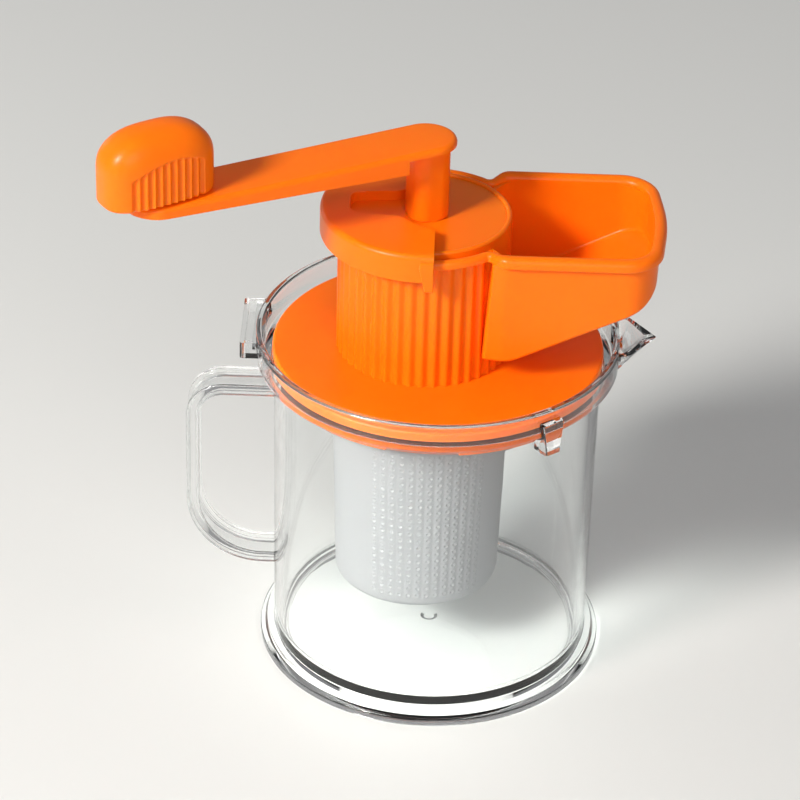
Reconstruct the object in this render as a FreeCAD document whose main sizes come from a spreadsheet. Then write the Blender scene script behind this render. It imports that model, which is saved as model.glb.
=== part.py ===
import FreeCAD, Part
import math
import os
from types import SimpleNamespace

import Sketcher

# A hand cranked mini grinder and juicer: a clear mug carries a lid with a ribbed grinding chamber and a
# side hopper; a cap on the chamber guides the crank; a drum with four blades turns inside; a filter
# basket hangs from the lid inside the mug. Millimetres. The origin is on the mug's axis in the plane
# it stands on, +Z is up, +X points from the handle to the spout.

SIZES = {
    # mug
    "wall_base_radius": (44.0, "outer radius of the wall at the foot"),
    "rim_height": (99.0, "height of the rim"),
    "foot_flange": (3.9, "how far the foot flange stands out from the wall"),
    "foot_radius": ("=wall_base_radius + foot_flange", "outer radius of the foot flange"),
    "foot_height": (2.6, "height of the foot flange"),
    "foot_step": (2.0, "how far the step above the flange stands out"),
    "foot_step_radius": ("=wall_base_radius + foot_step", "radius of the step above the flange"),
    "foot_step_height": (4.5, "top of that step"),
    "foot_ring_inset": (1.6, "how far the ring's inner side lies inside the wall's outer face"),
    "foot_ring_radius": ("=wall_base_radius - foot_ring_inset", "inner radius of the ring the mug stands on"),
    "floor_underside": (3.4, "height of the floor's lower face"),
    "floor_thickness": (2.7, "thickness of the mug's floor"),
    "floor_height": ("=floor_underside + floor_thickness", "height of the floor's upper face"),
    "gate_radius": (2.4, "radius of the moulding gate's nub under the floor"),
    "gate_depth": (1.0, "how far the nub stands down from the floor"),
    "wall_flare": (0.6, "how much the wall widens to its top"),
    "wall_top_radius": ("=wall_base_radius + wall_flare", "outer radius of the wall under the collar"),
    "wall_thickness": (2.4, "thickness of the mug's wall"),
    "collar_height": (7.8, "height of the collar, rim included"),
    "collar_bottom": ("=rim_height - collar_height", "height of the collar's lower edge"),
    "collar_slope": (3.6, "height over which the wall widens into the collar"),
    "wall_top": ("=collar_bottom - collar_slope", "height at which the wall widens into the collar"),
    "collar_step": (4.6, "how far the collar stands out from the wall"),
    "collar_radius": ("=wall_top_radius + collar_step", "outer radius of the collar's lower edge"),
    "rim_flare": (0.6, "how much the collar widens to the rim"),
    "rim_radius": ("=collar_radius + rim_flare", "outer radius of the rim"),
    "rim_thickness": (2.1, "thickness of the rim"),
    "rim_round": (0.5, "bevel of the rim's edges"),
    "seat_depth": (7.0, "depth of the lid's seat below the rim"),
    "seat_height": ("=rim_height - seat_depth", "height of the ledge that carries the lid"),
    # handle
    "handle_depth": (24.4, "distance from the wall to the handle's outer side"),
    "handle_reach": ("=wall_base_radius + handle_depth", "distance from the mug's axis to the handle's outer side"),
    "handle_drop": (16.8, "distance from the rim down to the handle's top side"),
    "handle_top": ("=rim_height - handle_drop", "height of the handle's top side"),
    "handle_bottom": (24.0, "height of the handle's bottom side"),
    "handle_width": (10.4, "width of the strap"),
    "handle_thickness": (3.5, "thickness of the strap's two rails"),
    "handle_rail": (1.9, "width of one rail"),
    "handle_recess": (1.0, "depth of the channel between the rails, on each side"),
    "handle_top_round": (10.4, "outer radius of the upper corner"),
    "handle_bottom_round": (21.0, "outer radius of the lower corner"),
    # latch pocket, spout and hook on the collar
    "latch_stand": (3.6, "how far the pocket stands out from the rim"),
    "latch_reach": ("=rim_radius + latch_stand", "distance from the axis to the pocket's outer face"),
    "latch_length": (24.0, "length of the pocket across the handle's plane"),
    "latch_shift": (1.8, "how far the pocket's middle lies to the back"),
    "latch_height": (4.8, "height of the pocket"),
    "latch_wall": (1.2, "wall thickness of the pocket"),
    "bridge_height": (2.6, "height of the rim where it crosses the pocket and the spout"),
    "spout_length": (9.3, "how far the spout's tip stands out from the rim"),
    "spout_reach": ("=rim_radius + spout_length", "distance from the axis to the spout's tip"),
    "spout_half_width": (11.3, "half the width of the spout at the rim"),
    "spout_wall": (1.5, "wall thickness of the spout"),
    "spout_bridge": (1.1, "thickness of the rim where it crosses the spout"),
    "hook_turn": (-52.5, "direction of the hook's middle, in degrees"),
    "hook_drop": (3.0, "distance from the rim down to the hook's top"),
    "hook_top": ("=rim_height - hook_drop", "height of the hook's top"),
    "hook_length": (10.4, "length of the hook"),
    "hook_bottom": ("=hook_top - hook_length", "height of the hook's lower end"),
    "hook_stand": (1.4, "how far the hook stands out from the rim"),
    "hook_reach": ("=rim_radius + hook_stand", "distance from the axis to the hook's outer face"),
    "hook_width": (7.0, "width of the hook at its top"),
    "hook_tip_width": (3.2, "width of the hook at its lower end"),
    # lid
    "seat_clearance": (0.1, "gap under a part that rests on a flat seat"),
    "lid_margin": (2.7, "gap between the lid's disc and the rim"),
    "lid_radius": ("=rim_radius - rim_thickness - lid_margin", "radius of the lid's disc"),
    "lid_thickness": (2.7, "thickness of the lid's disc"),
    "lid_bevel": (0.7, "bevel of the disc's upper edge"),
    "plug_gap": (0.7, "gap between the ring under the lid and the mug's wall"),
    "plug_radius": ("=wall_top_radius - wall_thickness - plug_gap", "outer radius of the ring under the lid"),
    "plug_wall": (1.6, "thickness of that ring"),
    "plug_depth": (6.0, "how far the ring reaches down"),
    "plug_notch": (1.6, "how much shorter the ring is at the front"),
    # grinding chamber
    "chamber_offset": (4.2, "how far the chamber's axis lies towards the handle"),
    "chamber_radius": (22.9, "outer radius of the chamber between its ribs"),
    "chamber_wall": (1.6, "thickness of the chamber's wall"),
    "chamber_bore": ("=chamber_radius - chamber_wall", "inner radius of the chamber"),
    "mouth_ledge": (1.1, "width of the ledge round the opening in the chamber's floor"),
    "chamber_mouth": ("=chamber_bore - mouth_ledge", "radius of the opening in the chamber's floor"),
    "chamber_floor": (4.4, "height of that ledge above the lid's seat"),
    "chamber_step": ("=seat_height + chamber_floor", "height at which the bore widens from the mouth"),
    "rib_count": (44, "number of ribs round the chamber"),
    "rib_radius": (1.15, "radius of a rib's rounded back"),
    "rib_stand": (0.6, "how far a rib stands out"),
    "lip_stand": (2.1, "how far the chamber's lip stands out"),
    "lip_radius": ("=chamber_radius + lip_stand", "outer radius of the chamber's lip"),
    "lip_height": (2.9, "height of the lip"),
    "lip_round": (1.0, "rounding of the lip and of the hopper's rim"),
    "chamber_height": (43.6, "height of the chamber's lip above the lid's seat"),
    "mouth_top": ("=seat_height + chamber_height", "height of the lip and of the hopper's rim"),
    "cap_seat_depth": (2.6, "depth of the recess that takes the cap"),
    # hopper
    "hopper_left": (12.0, "where the hopper's front and back walls begin"),
    "hopper_right": (57.8, "outer face of the hopper's end wall"),
    "hopper_half_width": (21.8, "half the outer width of the hopper"),
    "hopper_wall": (1.8, "thickness of the hopper's walls"),
    "hopper_floor": (2.4, "thickness of the hopper's sloping floor"),
    "hopper_depth": (33.4, "depth of the hopper, floor included"),
    "hopper_bottom": ("=mouth_top - hopper_depth", "height of the hopper's lowest side"),
    "hopper_knee": (19.3, "where the floor starts to rise"),
    "hopper_slope": (0.5, "rise of the floor per millimetre"),
    "hopper_end_round": (9.5, "radius of the two upright end corners"),
    "hopper_near_round": (4.0, "radius of the two corners beside the chamber"),
    "hopper_floor_round": (12.0, "radius between the floor and the end wall"),
    "hopper_rim_width": (1.5, "how far the hopper's rim stands out"),
    "window_half_width": (13.5, "half the width of the feed window"),
    "window_drop": (14.6, "distance from the lip down to the feed window"),
    "window_top": ("=mouth_top - window_drop", "height of the feed window's upper edge"),
    # spider that carries the drum, and the spigot for the filter
    "hub_radius": (8.4, "outer radius of the spider's hub"),
    "spoke_count": (3, "number of spokes"),
    "spoke_width": (3.0, "width of a spoke"),
    "spoke_height": (2.9, "height of the spider"),
    "spigot_wall": (1.6, "thickness of that ring"),
    "spigot_depth": (5.0, "how far that ring reaches down"),
    "lug_stand": (0.9, "how far a filter lug stands out"),
    "lug_height": (1.5, "height of a filter lug"),
    "lug_width": (5.0, "width of a filter lug"),
    # cap
    "running_clearance": (0.08, "radial gap of a shaft that turns in a bore"),
    "close_fit": (0.05, "gap round a piece that is fixed in another"),
    "moving_gap": (0.3, "gap between parts that move past each other"),
    "cap_ledge": (2.3, "width of the ledge that the cap's disc rests on"),
    "cap_radius": ("=chamber_bore + cap_ledge", "radius of the cap's disc"),
    "cap_disc": (1.6, "thickness of the cap's disc"),
    "cap_ridge": (0.5, "how much the disc rises to its edge"),
    "cap_hub_radius": (9.0, "radius of the boss under the disc"),
    "plate_rise": (2.1, "height of the cap's raised half above the lip"),
    "plate_top": ("=mouth_top + plate_rise", "height of the raised half of the cap"),
    "plate_end": (2.5, "how far the raised half reaches past the shaft's axis"),
    "skirt_wall": (2.6, "thickness of the cap's skirt"),
    "skirt_radius": ("=lip_radius + moving_gap + skirt_wall", "outer radius of the cap's skirt"),
    "skirt_drop": (6.0, "how far the skirt reaches down from the lip's top"),
    "skirt_bottom": ("=mouth_top - skirt_drop", "lower edge of the skirt"),
    "skirt_round": (1.0, "rounding of the skirt's upper edge"),
    "slot_margin": (2.9, "distance from the slot's end to the disc's edge"),
    "slot_reach": ("=cap_radius - slot_margin", "how far the slot reaches from the shaft's axis"),
    "slot_half_width": (5.7, "half the width of the slot"),
    "recess_half_width": (14.3, "half the width of the slot at its open end"),
    "tab_width": (3.8, "width of the tabs at the skirt's ends"),
    "tab_stand": (0.8, "how far the tabs stand out from the skirt"),
    "tab_reach": ("=skirt_radius + tab_stand", "distance from the cap's middle plane to the outer side of the tabs"),
    "tab_drop": (2.8, "how far the tabs reach below the skirt"),
    "tab_bottom": ("=skirt_bottom - tab_drop", "lower end of the tabs"),
    "nib_turn": (50.0, "direction of the skirt's two nibs from its middle, in degrees"),
    "nib_width": (6.0, "width of a nib"),
    "nib_height": (1.9, "height of a nib"),
    "cap_twist": (22.0, "turn that frees the cap, in degrees"),
    # crank
    "crank_turn": (207.0, "direction of the crank's arm, in degrees"),
    "crank_radius": (77.4, "distance from the shaft to the knob's pin"),
    "arm_radius": (8.2, "half the width of the arm"),
    "arm_rise": (21.7, "height of the arm's upper face above the lip"),
    "arm_top": ("=mouth_top + arm_rise", "height of the arm's upper face"),
    "arm_depth": (6.0, "thickness of the arm over the shaft"),
    "arm_tip_depth": (3.2, "thickness of the arm under the knob"),
    "arm_skin": (2.0, "thickness of the arm's upper wall"),
    "arm_wall": (2.0, "thickness of the arm's side walls"),
    "arm_round": (0.9, "rounding of the arm's upper edge"),
    "shaft_side": (10.5, "width of the shaft over its flats"),
    "shaft_round": (3.6, "rounding of the shaft's corners"),
    "journal_radius": (5.3, "radius of the shaft where it turns in the cap"),
    "drive_side": (7.0, "width of the square that drives the drum"),
    "drive_length": (16.0, "length of that square"),
    # knob and its screw
    "knob_length": (31.4, "length of the knob"),
    "knob_half_width": (8.3, "half the width of the knob"),
    "knob_corner": (6.8, "radius of the knob's upright corners"),
    "knob_turn": (6.0, "turn of the knob from the arm's direction, in degrees"),
    "knob_height": (20.0, "height of the knob at its middle"),
    "knob_shoulder": (16.4, "height of the knob at its ends"),
    "knob_bow": (16.0, "radius of the crown across the knob"),
    "knob_crown": (42.0, "radius of the crown along the knob"),
    "knob_edge": (2.6, "rounding of the knob's upper edge"),
    "knob_foot": (1.2, "rounding of the knob's lower edge"),
    "grip_count": (10, "number of grip grooves on each side"),
    "grip_pitch": (2.1, "distance from groove to groove"),
    "grip_width": (0.9, "width of a groove"),
    "grip_depth": (0.7, "depth of a groove"),
    "grip_arch": (12.4, "height of the middle grooves"),
    "grip_drop": (5.2, "how much lower the outermost grooves end"),
    "screw_radius": (2.3, "radius of the knob screw's shank"),
    "screw_head_radius": (4.2, "radius of its head"),
    "screw_head_height": (1.8, "height of its head"),
    "screw_grip": (10.0, "length of the screw inside the knob"),
    "washer_radius": (4.8, "radius of the washer"),
    "washer_thickness": (0.6, "thickness of the washer"),
    # grinding drum, blades and liner
    "grinding_gap": (2.5, "gap between the drum and the chamber's bore"),
    "drum_radius": ("=chamber_bore - grinding_gap", "radius of the drum"),
    "drum_cone": (23.6, "distance from the lip down to where the drum starts to narrow"),
    "drum_shoulder": ("=mouth_top - drum_cone", "height at which the drum starts to narrow"),
    "drum_neck_radius": (9.5, "radius of the drum's upper end"),
    "drum_journal_radius": (6.0, "radius of the drum's lower journal"),
    "blade_count": (4, "number of blades"),
    "blade_thickness": (0.8, "thickness of a blade"),
    "blade_depth": (4.0, "how deep a blade sits in the drum"),
    "blade_stand": (1.1, "how far a blade stands out of the drum"),
    "tooth_count": (7, "number of notches along a blade"),
    "tooth_depth": (0.7, "depth of a notch"),
    "liner_thickness": (0.5, "thickness of the steel liner"),
    "liner_drop": (9.6, "distance from the lip down to the liner's upper edge"),
    "liner_top": ("=mouth_top - liner_drop", "height of the liner's upper edge"),
    "liner_half_gap": (44.0, "half the angle left open towards the hopper, in degrees"),
    # screw under the drum
    "drum_screw_radius": (1.6, "radius of the drum screw's shank"),
    "drum_screw_length": (8.0, "length of the screw inside the shaft"),
    "drum_screw_head_radius": (3.0, "radius of its head"),
    "drum_screw_head_height": (1.6, "height of its head"),
    "drum_washer_radius": (3.9, "radius of its washer"),
    "drum_recess_radius": (4.2, "radius of the recess for that washer"),
    # filter basket
    "filter_length": (68.8, "distance from the lid's seat down to the basket's underside"),
    "filter_bottom": ("=seat_height - filter_length", "height of the basket's underside"),
    "filter_margin": (4.4, "how far the basket's wall lies outside the chamber's mouth"),
    "filter_top_radius": ("=chamber_mouth + filter_margin", "outer radius at the top"),
    "filter_taper": (1.9, "how much the basket narrows to its bottom"),
    "filter_bottom_radius": ("=filter_top_radius - filter_taper", "outer radius at the bottom"),
    "filter_wall": (1.4, "thickness of the basket's wall"),
    "filter_bevel": (1.8, "bevel of the basket's lower edge"),
    "filter_twist": (18.0, "turn that frees the basket, in degrees"),
}

VOLUMES = {}  # volume of each body after its latest feature


class Size:
    """A number with the sheet formula that gives it, so that a feature can be bound to it."""

    def __init__(self, value, formula):
        self.value = float(value)
        self.formula = formula

    def _with(self, other, sign, result):
        other = as_size(other)
        return Size(result(self.value, other.value), "(%s %s %s)" % (self.formula, sign, other.formula))

    def __add__(self, other):
        return self._with(other, "+", lambda a, b: a + b)

    def __sub__(self, other):
        return self._with(other, "-", lambda a, b: a - b)

    def __mul__(self, other):
        return self._with(other, "*", lambda a, b: a * b)

    def __truediv__(self, other):
        return self._with(other, "/", lambda a, b: a / b)

    def __radd__(self, other):
        return as_size(other) + self

    def __rsub__(self, other):
        return as_size(other) - self

    def __rmul__(self, other):
        return as_size(other) * self

    def __neg__(self):
        return as_size(0) - self

    @property
    def fixed(self):
        """True when no cell of the sheet is in the formula."""
        return "Sizes." not in self.formula


def as_size(number):
    """Gives a plain number the form of a Size."""
    if isinstance(number, Size):
        return number
    return Size(number, "%r" % number if number >= 0 else "(0 - %r)" % -number)


def cosine(angle):
    """Cosine of an angle in degrees."""
    return Size(math.cos(math.radians(angle.value)), "cos(%s)" % angle.formula)


def sine(angle):
    """Sine of an angle in degrees."""
    return Size(math.sin(math.radians(angle.value)), "sin(%s)" % angle.formula)


def turned(along, across, angle):
    """A point given along and across a direction, as x and y."""
    c, s = cosine(angle), sine(angle)
    return along * c - across * s, along * s + across * c


def make_sheet(doc):
    """Fills the sheet with the sizes, formulas included, and gives them back as Sizes by name."""
    sheet = doc.addObject("Spreadsheet::Sheet", "Sizes")
    for row, (name, (value, note)) in enumerate(SIZES.items(), start=1):
        sheet.set("A%d" % row, name)
        sheet.set("B%d" % row, str(value))
        sheet.set("C%d" % row, note)
        sheet.setAlias("B%d" % row, name)
    doc.recompute()
    return SimpleNamespace(**{name: Size(sheet.get(name), "Sizes." + name) for name in SIZES})


# ---- helpers that make features bound to the sheet ----


def bind(thing, prop, size):
    """Sets a property to a size, by its formula where it comes from the sheet."""
    size = as_size(size)
    if size.fixed:
        setattr(thing, prop, size.value)
    else:
        thing.setExpression(prop, size.formula)


def make_body(doc, label, x=0, y=0, angle=None):
    """A body whose placement is moved by x and y and turned about Z by angle."""
    body = doc.addObject("PartDesign::Body", label)
    body.Label = label
    for prop, size in (("Placement.Base.x", as_size(x)), ("Placement.Base.y", as_size(y))):
        if not size.fixed:
            body.setExpression(prop, size.formula)
    if angle is not None:
        body.Placement = FreeCAD.Placement(FreeCAD.Vector(), FreeCAD.Rotation(FreeCAD.Vector(0, 0, 1), 1))
        body.setExpression("Placement.Rotation.Angle", angle.formula)
    return body


def sketch_on(body, plane, height=0, shift=0):
    """A sketch on one of the body's planes, raised along its normal and shifted along its X."""
    base = [f for f in body.Origin.OriginFeatures if f.Role == plane + "_Plane"][0]
    sketch = body.newObject("Sketcher::SketchObject", "Sketch")
    sketch.AttachmentSupport = [(base, "")]
    sketch.MapMode = "FlatFace"
    for prop, size in (("AttachmentOffset.Base.z", as_size(height)), ("AttachmentOffset.Base.x", as_size(shift))):
        if size.value or not size.fixed:
            sketch.setExpression(prop, size.formula)
    return sketch


def place_point(sketch, geometry, end, x, y, rules):
    """Collects the rules that hold one end of a geometry at x, y."""
    for size, kind, axis in ((x, "DistanceX", -2), (y, "DistanceY", -1)):
        if size.value == 0 and size.fixed:
            rules.append((Sketcher.Constraint("PointOnObject", geometry, end, axis), None))
        else:
            rules.append((Sketcher.Constraint(kind, -1, 1, geometry, end, size.value), size))


def apply_rules(sketch, rules):
    """Adds the collected rules in one go and binds the sized ones to the sheet."""
    first = sketch.ConstraintCount
    sketch.addConstraint([rule for rule, size in rules])
    for number, (rule, size) in enumerate(rules, start=first):
        if size is not None and not size.fixed:
            name = "bound%d" % number
            sketch.renameConstraint(number, name)
            sketch.setExpression("Constraints." + name, size.formula)


def outline(sketch, corners):
    """Draws a closed outline. A corner is (x, y), or (x, y, radius) where it is rounded."""
    corners = [tuple(as_size(c) for c in corner) for corner in corners]
    count = len(corners)
    spots = [FreeCAD.Vector(c[0].value, c[1].value, 0) for c in corners]
    enter, leave, arcs = list(spots), list(spots), {}
    for i, corner in enumerate(corners):
        if len(corner) == 2:
            continue
        radius = corner[2].value
        back = (spots[i - 1] - spots[i]).normalize()
        ahead = (spots[(i + 1) % count] - spots[i]).normalize()
        half = back.getAngle(ahead) / 2
        enter[i] = spots[i] + back * (radius / math.tan(half))
        leave[i] = spots[i] + ahead * (radius / math.tan(half))
        centre = spots[i] + (back + ahead).normalize() * (radius / math.sin(half))
        left_turn = ahead.cross(back).z > 0
        first, last = (enter[i], leave[i]) if left_turn else (leave[i], enter[i])
        angles = [math.atan2((p - centre).y, (p - centre).x) for p in (first, last)]
        circle = Part.Circle(centre, FreeCAD.Vector(0, 0, 1), radius)
        arcs[i] = (Part.ArcOfCircle(circle, angles[0], angles[1]), left_turn)
    lines = [
        sketch.addGeometry(Part.LineSegment(leave[i], enter[(i + 1) % count]), False) for i in range(count)
    ]
    rules = []
    for i, corner in enumerate(corners):
        before, after = lines[i - 1], lines[i]
        if i not in arcs:
            rules.append((Sketcher.Constraint("Coincident", before, 2, after, 1), None))
            place_point(sketch, after, 1, corner[0], corner[1], rules)
            continue
        arc, left_turn = arcs[i]
        bend = sketch.addGeometry(arc, False)
        point = sketch.addGeometry(Part.Point(spots[i]), True)
        place_point(sketch, point, 1, corner[0], corner[1], rules)
        rules.append((Sketcher.Constraint("PointOnObject", point, 1, before), None))
        rules.append((Sketcher.Constraint("PointOnObject", point, 1, after), None))
        near, far = (1, 2) if left_turn else (2, 1)
        rules.append((Sketcher.Constraint("Tangent", before, 2, bend, near), None))
        rules.append((Sketcher.Constraint("Tangent", bend, far, after, 1), None))
        rules.append((Sketcher.Constraint("Radius", bend, corner[2].value), corner[2]))
    apply_rules(sketch, rules)


def rectangle(sketch, x0, y0, x1, y1, radius=None):
    """Draws a rectangle from one corner to the other, with round corners if a radius is given."""
    tail = () if radius is None else (radius,)
    outline(sketch, [(x0, y0) + tail, (x1, y0) + tail, (x1, y1) + tail, (x0, y1) + tail])


def circle(sketch, radius, x=0, y=0):
    """Draws a circle about x, y."""
    radius, x, y = as_size(radius), as_size(x), as_size(y)
    centre = FreeCAD.Vector(x.value, y.value, 0)
    ring = sketch.addGeometry(Part.Circle(centre, FreeCAD.Vector(0, 0, 1), radius.value), False)
    rules = [(Sketcher.Constraint("Radius", ring, radius.value), radius)]
    if x.fixed and y.fixed and not x.value and not y.value:
        rules.append((Sketcher.Constraint("Coincident", ring, 3, -1, 1), None))
    else:
        place_point(sketch, ring, 3, x, y, rules)
    apply_rules(sketch, rules)


def finish(body, feature, grows=None):
    """Makes a feature the body's tip and checks that it is sound and changed the volume as it should."""
    before = VOLUMES.get(body.Name, 0.0)
    body.Tip = feature
    body.Document.recompute()
    if not feature.isValid() or feature.Shape.isNull():
        raise RuntimeError("%s in %s failed: %s" % (feature.Name, body.Label, feature.State))
    change = feature.Shape.Volume - before
    if grows is not None and (change <= 0 if grows else change >= 0):
        raise RuntimeError("%s in %s changed the volume by %.3f" % (feature.Name, body.Label, change))
    VOLUMES[body.Name] = feature.Shape.Volume
    return feature


def pad(body, sketch, length, symmetric=False):
    """Adds a sketch as a prism along its normal, or evenly to both sides."""
    feature = body.newObject("PartDesign::Pad", "Pad")
    feature.Profile = sketch
    feature.SideType = "Symmetric" if symmetric else "One side"
    bind(feature, "Length", length)
    return finish(body, feature, True)


def pocket(body, sketch, length, symmetric=False, forward=False):
    """Cuts a sketch as a prism against its normal, evenly to both sides, or forward along its normal."""
    feature = body.newObject("PartDesign::Pocket", "Pocket")
    feature.Profile = sketch
    feature.SideType = "Symmetric" if symmetric else "One side"
    feature.Reversed = forward
    bind(feature, "Length", length)
    return finish(body, feature, False)


def revolve(body, sketch, angle=360):
    """Turns a sketch about its own Y axis, evenly to both sides when it is not a full turn."""
    feature = body.newObject("PartDesign::Revolution", "Revolution")
    feature.Profile = sketch
    feature.ReferenceAxis = (sketch, ["V_Axis"])
    feature.Midplane = as_size(angle).value != 360
    bind(feature, "Angle", angle)
    return finish(body, feature, True)


def loft(body, lower, upper, adds=True):
    """Adds or cuts the ruled form between two sketches."""
    kind = "PartDesign::AdditiveLoft" if adds else "PartDesign::SubtractiveLoft"
    feature = body.newObject(kind, "Loft")
    feature.Profile = lower
    feature.Sections = [upper]
    feature.Ruled = True
    return finish(body, feature, adds)


def polar(body, feature, sketch, count, grows):
    """Repeats a feature round the normal through its sketch's origin."""
    pattern = body.newObject("PartDesign::PolarPattern", "Pattern")
    pattern.Originals = [feature]
    pattern.Axis = (sketch, ["N_Axis"])
    pattern.Angle = 360
    bind(pattern, "Occurrences", count)
    return finish(body, pattern, grows)


def fillet(body, radius, wanted):
    """Rounds the edges for which wanted(edge) is true."""
    base = body.Tip
    edges = ["Edge%d" % (n + 1) for n, edge in enumerate(base.Shape.Edges) if wanted(edge)]
    if not edges:
        raise RuntimeError("no edge to round in " + body.Label)
    feature = body.newObject("PartDesign::Fillet", "Fillet")
    feature.Base = (base, edges)
    bind(feature, "Radius", radius)
    return finish(body, feature)


def at_height(*heights):
    """A test for edges that lie flat at one of the given heights."""

    def test(edge):
        box = edge.BoundBox
        return any(abs(box.ZMin - z.value) < 1e-4 and abs(box.ZMax - z.value) < 1e-4 for z in heights)

    return test


# ---- the pieces ----


def handle_strap(body, d, outer, inner, low, high):
    """One layer of the handle: between two depths from its outer side, from low to high across it."""
    end = -d.wall_base_radius + d.wall_thickness / 3
    sides = []
    for depth in (outer, inner):
        left = -d.handle_reach + depth
        top, bottom = d.handle_top - depth, d.handle_bottom + depth
        sides.append((left, top, bottom, d.handle_top_round - depth, d.handle_bottom_round - depth))
    (x0, top0, low0, ra0, rb0), (x1, top1, low1, ra1, rb1) = sides
    sketch = sketch_on(body, "XZ", -(low + high) / 2)
    outline(
        sketch,
        [(end, low0), (end, low1), (x1, low1, rb1), (x1, top1, ra1)]
        + [(end, top1), (end, top0), (x0, top0, ra0), (x0, low0, rb0)],
    )
    pad(body, sketch, high - low, symmetric=True)


def make_cup(doc, d):
    """The clear mug with its foot, collar, handle, latch pocket, spout and hook."""
    body = make_body(doc, "cup")
    half = d.handle_width / 2
    handle_strap(body, d, d.handle_recess, d.handle_thickness - d.handle_recess, -half, half)
    handle_strap(body, d, as_size(0), d.handle_thickness, -half, d.handle_rail - half)
    handle_strap(body, d, as_size(0), d.handle_thickness, half - d.handle_rail, half)

    # wall, floor, foot and collar in one turned profile
    inner_base = d.wall_base_radius - d.wall_thickness
    inner_top = d.wall_top_radius - d.wall_thickness
    profile = sketch_on(body, "XZ")
    outline(
        profile,
        [
            (0, d.floor_underside - d.gate_depth),
            (d.gate_radius * 0.6, d.floor_underside - d.gate_depth * 0.85),
            (d.gate_radius, d.floor_underside),
            (d.foot_ring_radius - 1, d.floor_underside),
            (d.foot_ring_radius, 0),
            (d.foot_radius - 0.9, 0, 0.6),
            (d.foot_radius, 0.9, 0.6),
            (d.foot_radius, d.foot_height, 0.6),
            (d.foot_step_radius + 0.6, d.foot_height + 0.8, 0.3),
            (d.foot_step_radius, d.foot_step_height, 0.5),
            (d.wall_base_radius + 0.05, d.foot_step_height + 0.8, 0.4),
            (d.wall_top_radius, d.wall_top, 2),
            (d.collar_radius - 0.6, d.collar_bottom - 0.7, 0.3),
            (d.collar_radius, d.collar_bottom, 0.3),
            (d.rim_radius, d.rim_height, d.rim_round * 1.4),
            (d.rim_radius - d.rim_thickness, d.rim_height, d.rim_round),
            (d.rim_radius - d.rim_thickness - 0.3, d.seat_height, 0.4),
            (inner_top, d.seat_height, 0.5),
            (inner_base, d.floor_height, 2.4),
            (0, d.floor_height),
        ],
    )
    revolve(body, profile)

    # the latch pocket's block and the spout's block
    latch_y0 = d.latch_shift - d.latch_length / 2
    latch_y1 = d.latch_shift + d.latch_length / 2
    latch_bottom = d.rim_height - 0.2 - d.latch_height
    inner_rim = d.rim_radius - d.rim_thickness
    block = sketch_on(body, "XY", latch_bottom)
    rectangle(block, -d.latch_reach, latch_y0, -inner_rim, latch_y1)
    pad(body, block, d.latch_height)
    spout_low = sketch_on(body, "XY", d.collar_bottom + 0.4)
    spout_outline(spout_low, inner_rim, d.collar_radius + 0.6, d.spout_half_width * 0.55, 1)
    spout_high = sketch_on(body, "XY", d.rim_height)
    spout_outline(spout_high, inner_rim, d.spout_reach, d.spout_half_width, 3)
    loft(body, spout_low, spout_high)

    # the hollows of both, cut through the collar's wall
    hollow = sketch_on(body, "XY", d.rim_height)
    rectangle(
        hollow,
        -d.latch_reach + d.latch_wall,
        latch_y0 + d.latch_wall,
        -inner_rim + 3,
        latch_y1 - d.latch_wall,
    )
    pocket(body, hollow, d.latch_height + 0.2 - d.latch_wall)
    spout_floor = sketch_on(body, "XY", d.collar_bottom + 0.4 + d.spout_wall)
    inside = d.spout_half_width - d.spout_wall
    spout_outline(spout_floor, inner_rim - 3, d.collar_radius - 0.4, inside * 0.55, 1)
    spout_mouth = sketch_on(body, "XY", d.rim_height)
    spout_outline(spout_mouth, inner_rim - 3, d.spout_reach - d.spout_wall * 1.6, inside, 3)
    loft(body, spout_floor, spout_mouth, adds=False)

    # the rim crosses both hollows as a bridge
    for side, thickness, spread in ((1, d.spout_bridge, 30), (-1, d.rim_thickness, 33)):
        bridge = sketch_on(body, "XZ")
        rectangle(
            bridge,
            side * inner_rim,
            d.rim_height - d.bridge_height,
            side * (inner_rim + thickness),
            d.rim_height - 0.05,
        )
        revolve(body, bridge, spread)

    # the hook below the collar
    lower = sketch_on(body, "XY", d.hook_bottom)
    hook_outline(lower, d, d.hook_tip_width, d.wall_top_radius - 0.4, d.hook_reach - 1.2)
    upper = sketch_on(body, "XY", d.hook_top)
    hook_outline(upper, d, d.hook_width, d.collar_radius - 0.2, d.hook_reach)
    loft(body, lower, upper)
    return body


def spout_outline(sketch, start, reach, half_width, bend):
    """A beak that begins as wide as the mouth and comes to a rounded point."""
    shoulder = start + (reach - start) * 0.33
    outline(
        sketch,
        [
            (start, -half_width),
            (shoulder, -half_width * 0.92, bend),
            (reach, 0, 0.8),
            (shoulder, half_width * 0.92, bend),
            (start, half_width),
        ],
    )


def hook_outline(sketch, d, width, inner, reach):
    """A block on the wall at the hook's direction, with its right side kept in one plane."""
    right = d.hook_width / 2
    left = right - width
    corners = [(inner, left), (reach, left), (reach, right), (inner, right)]
    outline(sketch, [turned(along, across, d.hook_turn) for along, across in corners])


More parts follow.
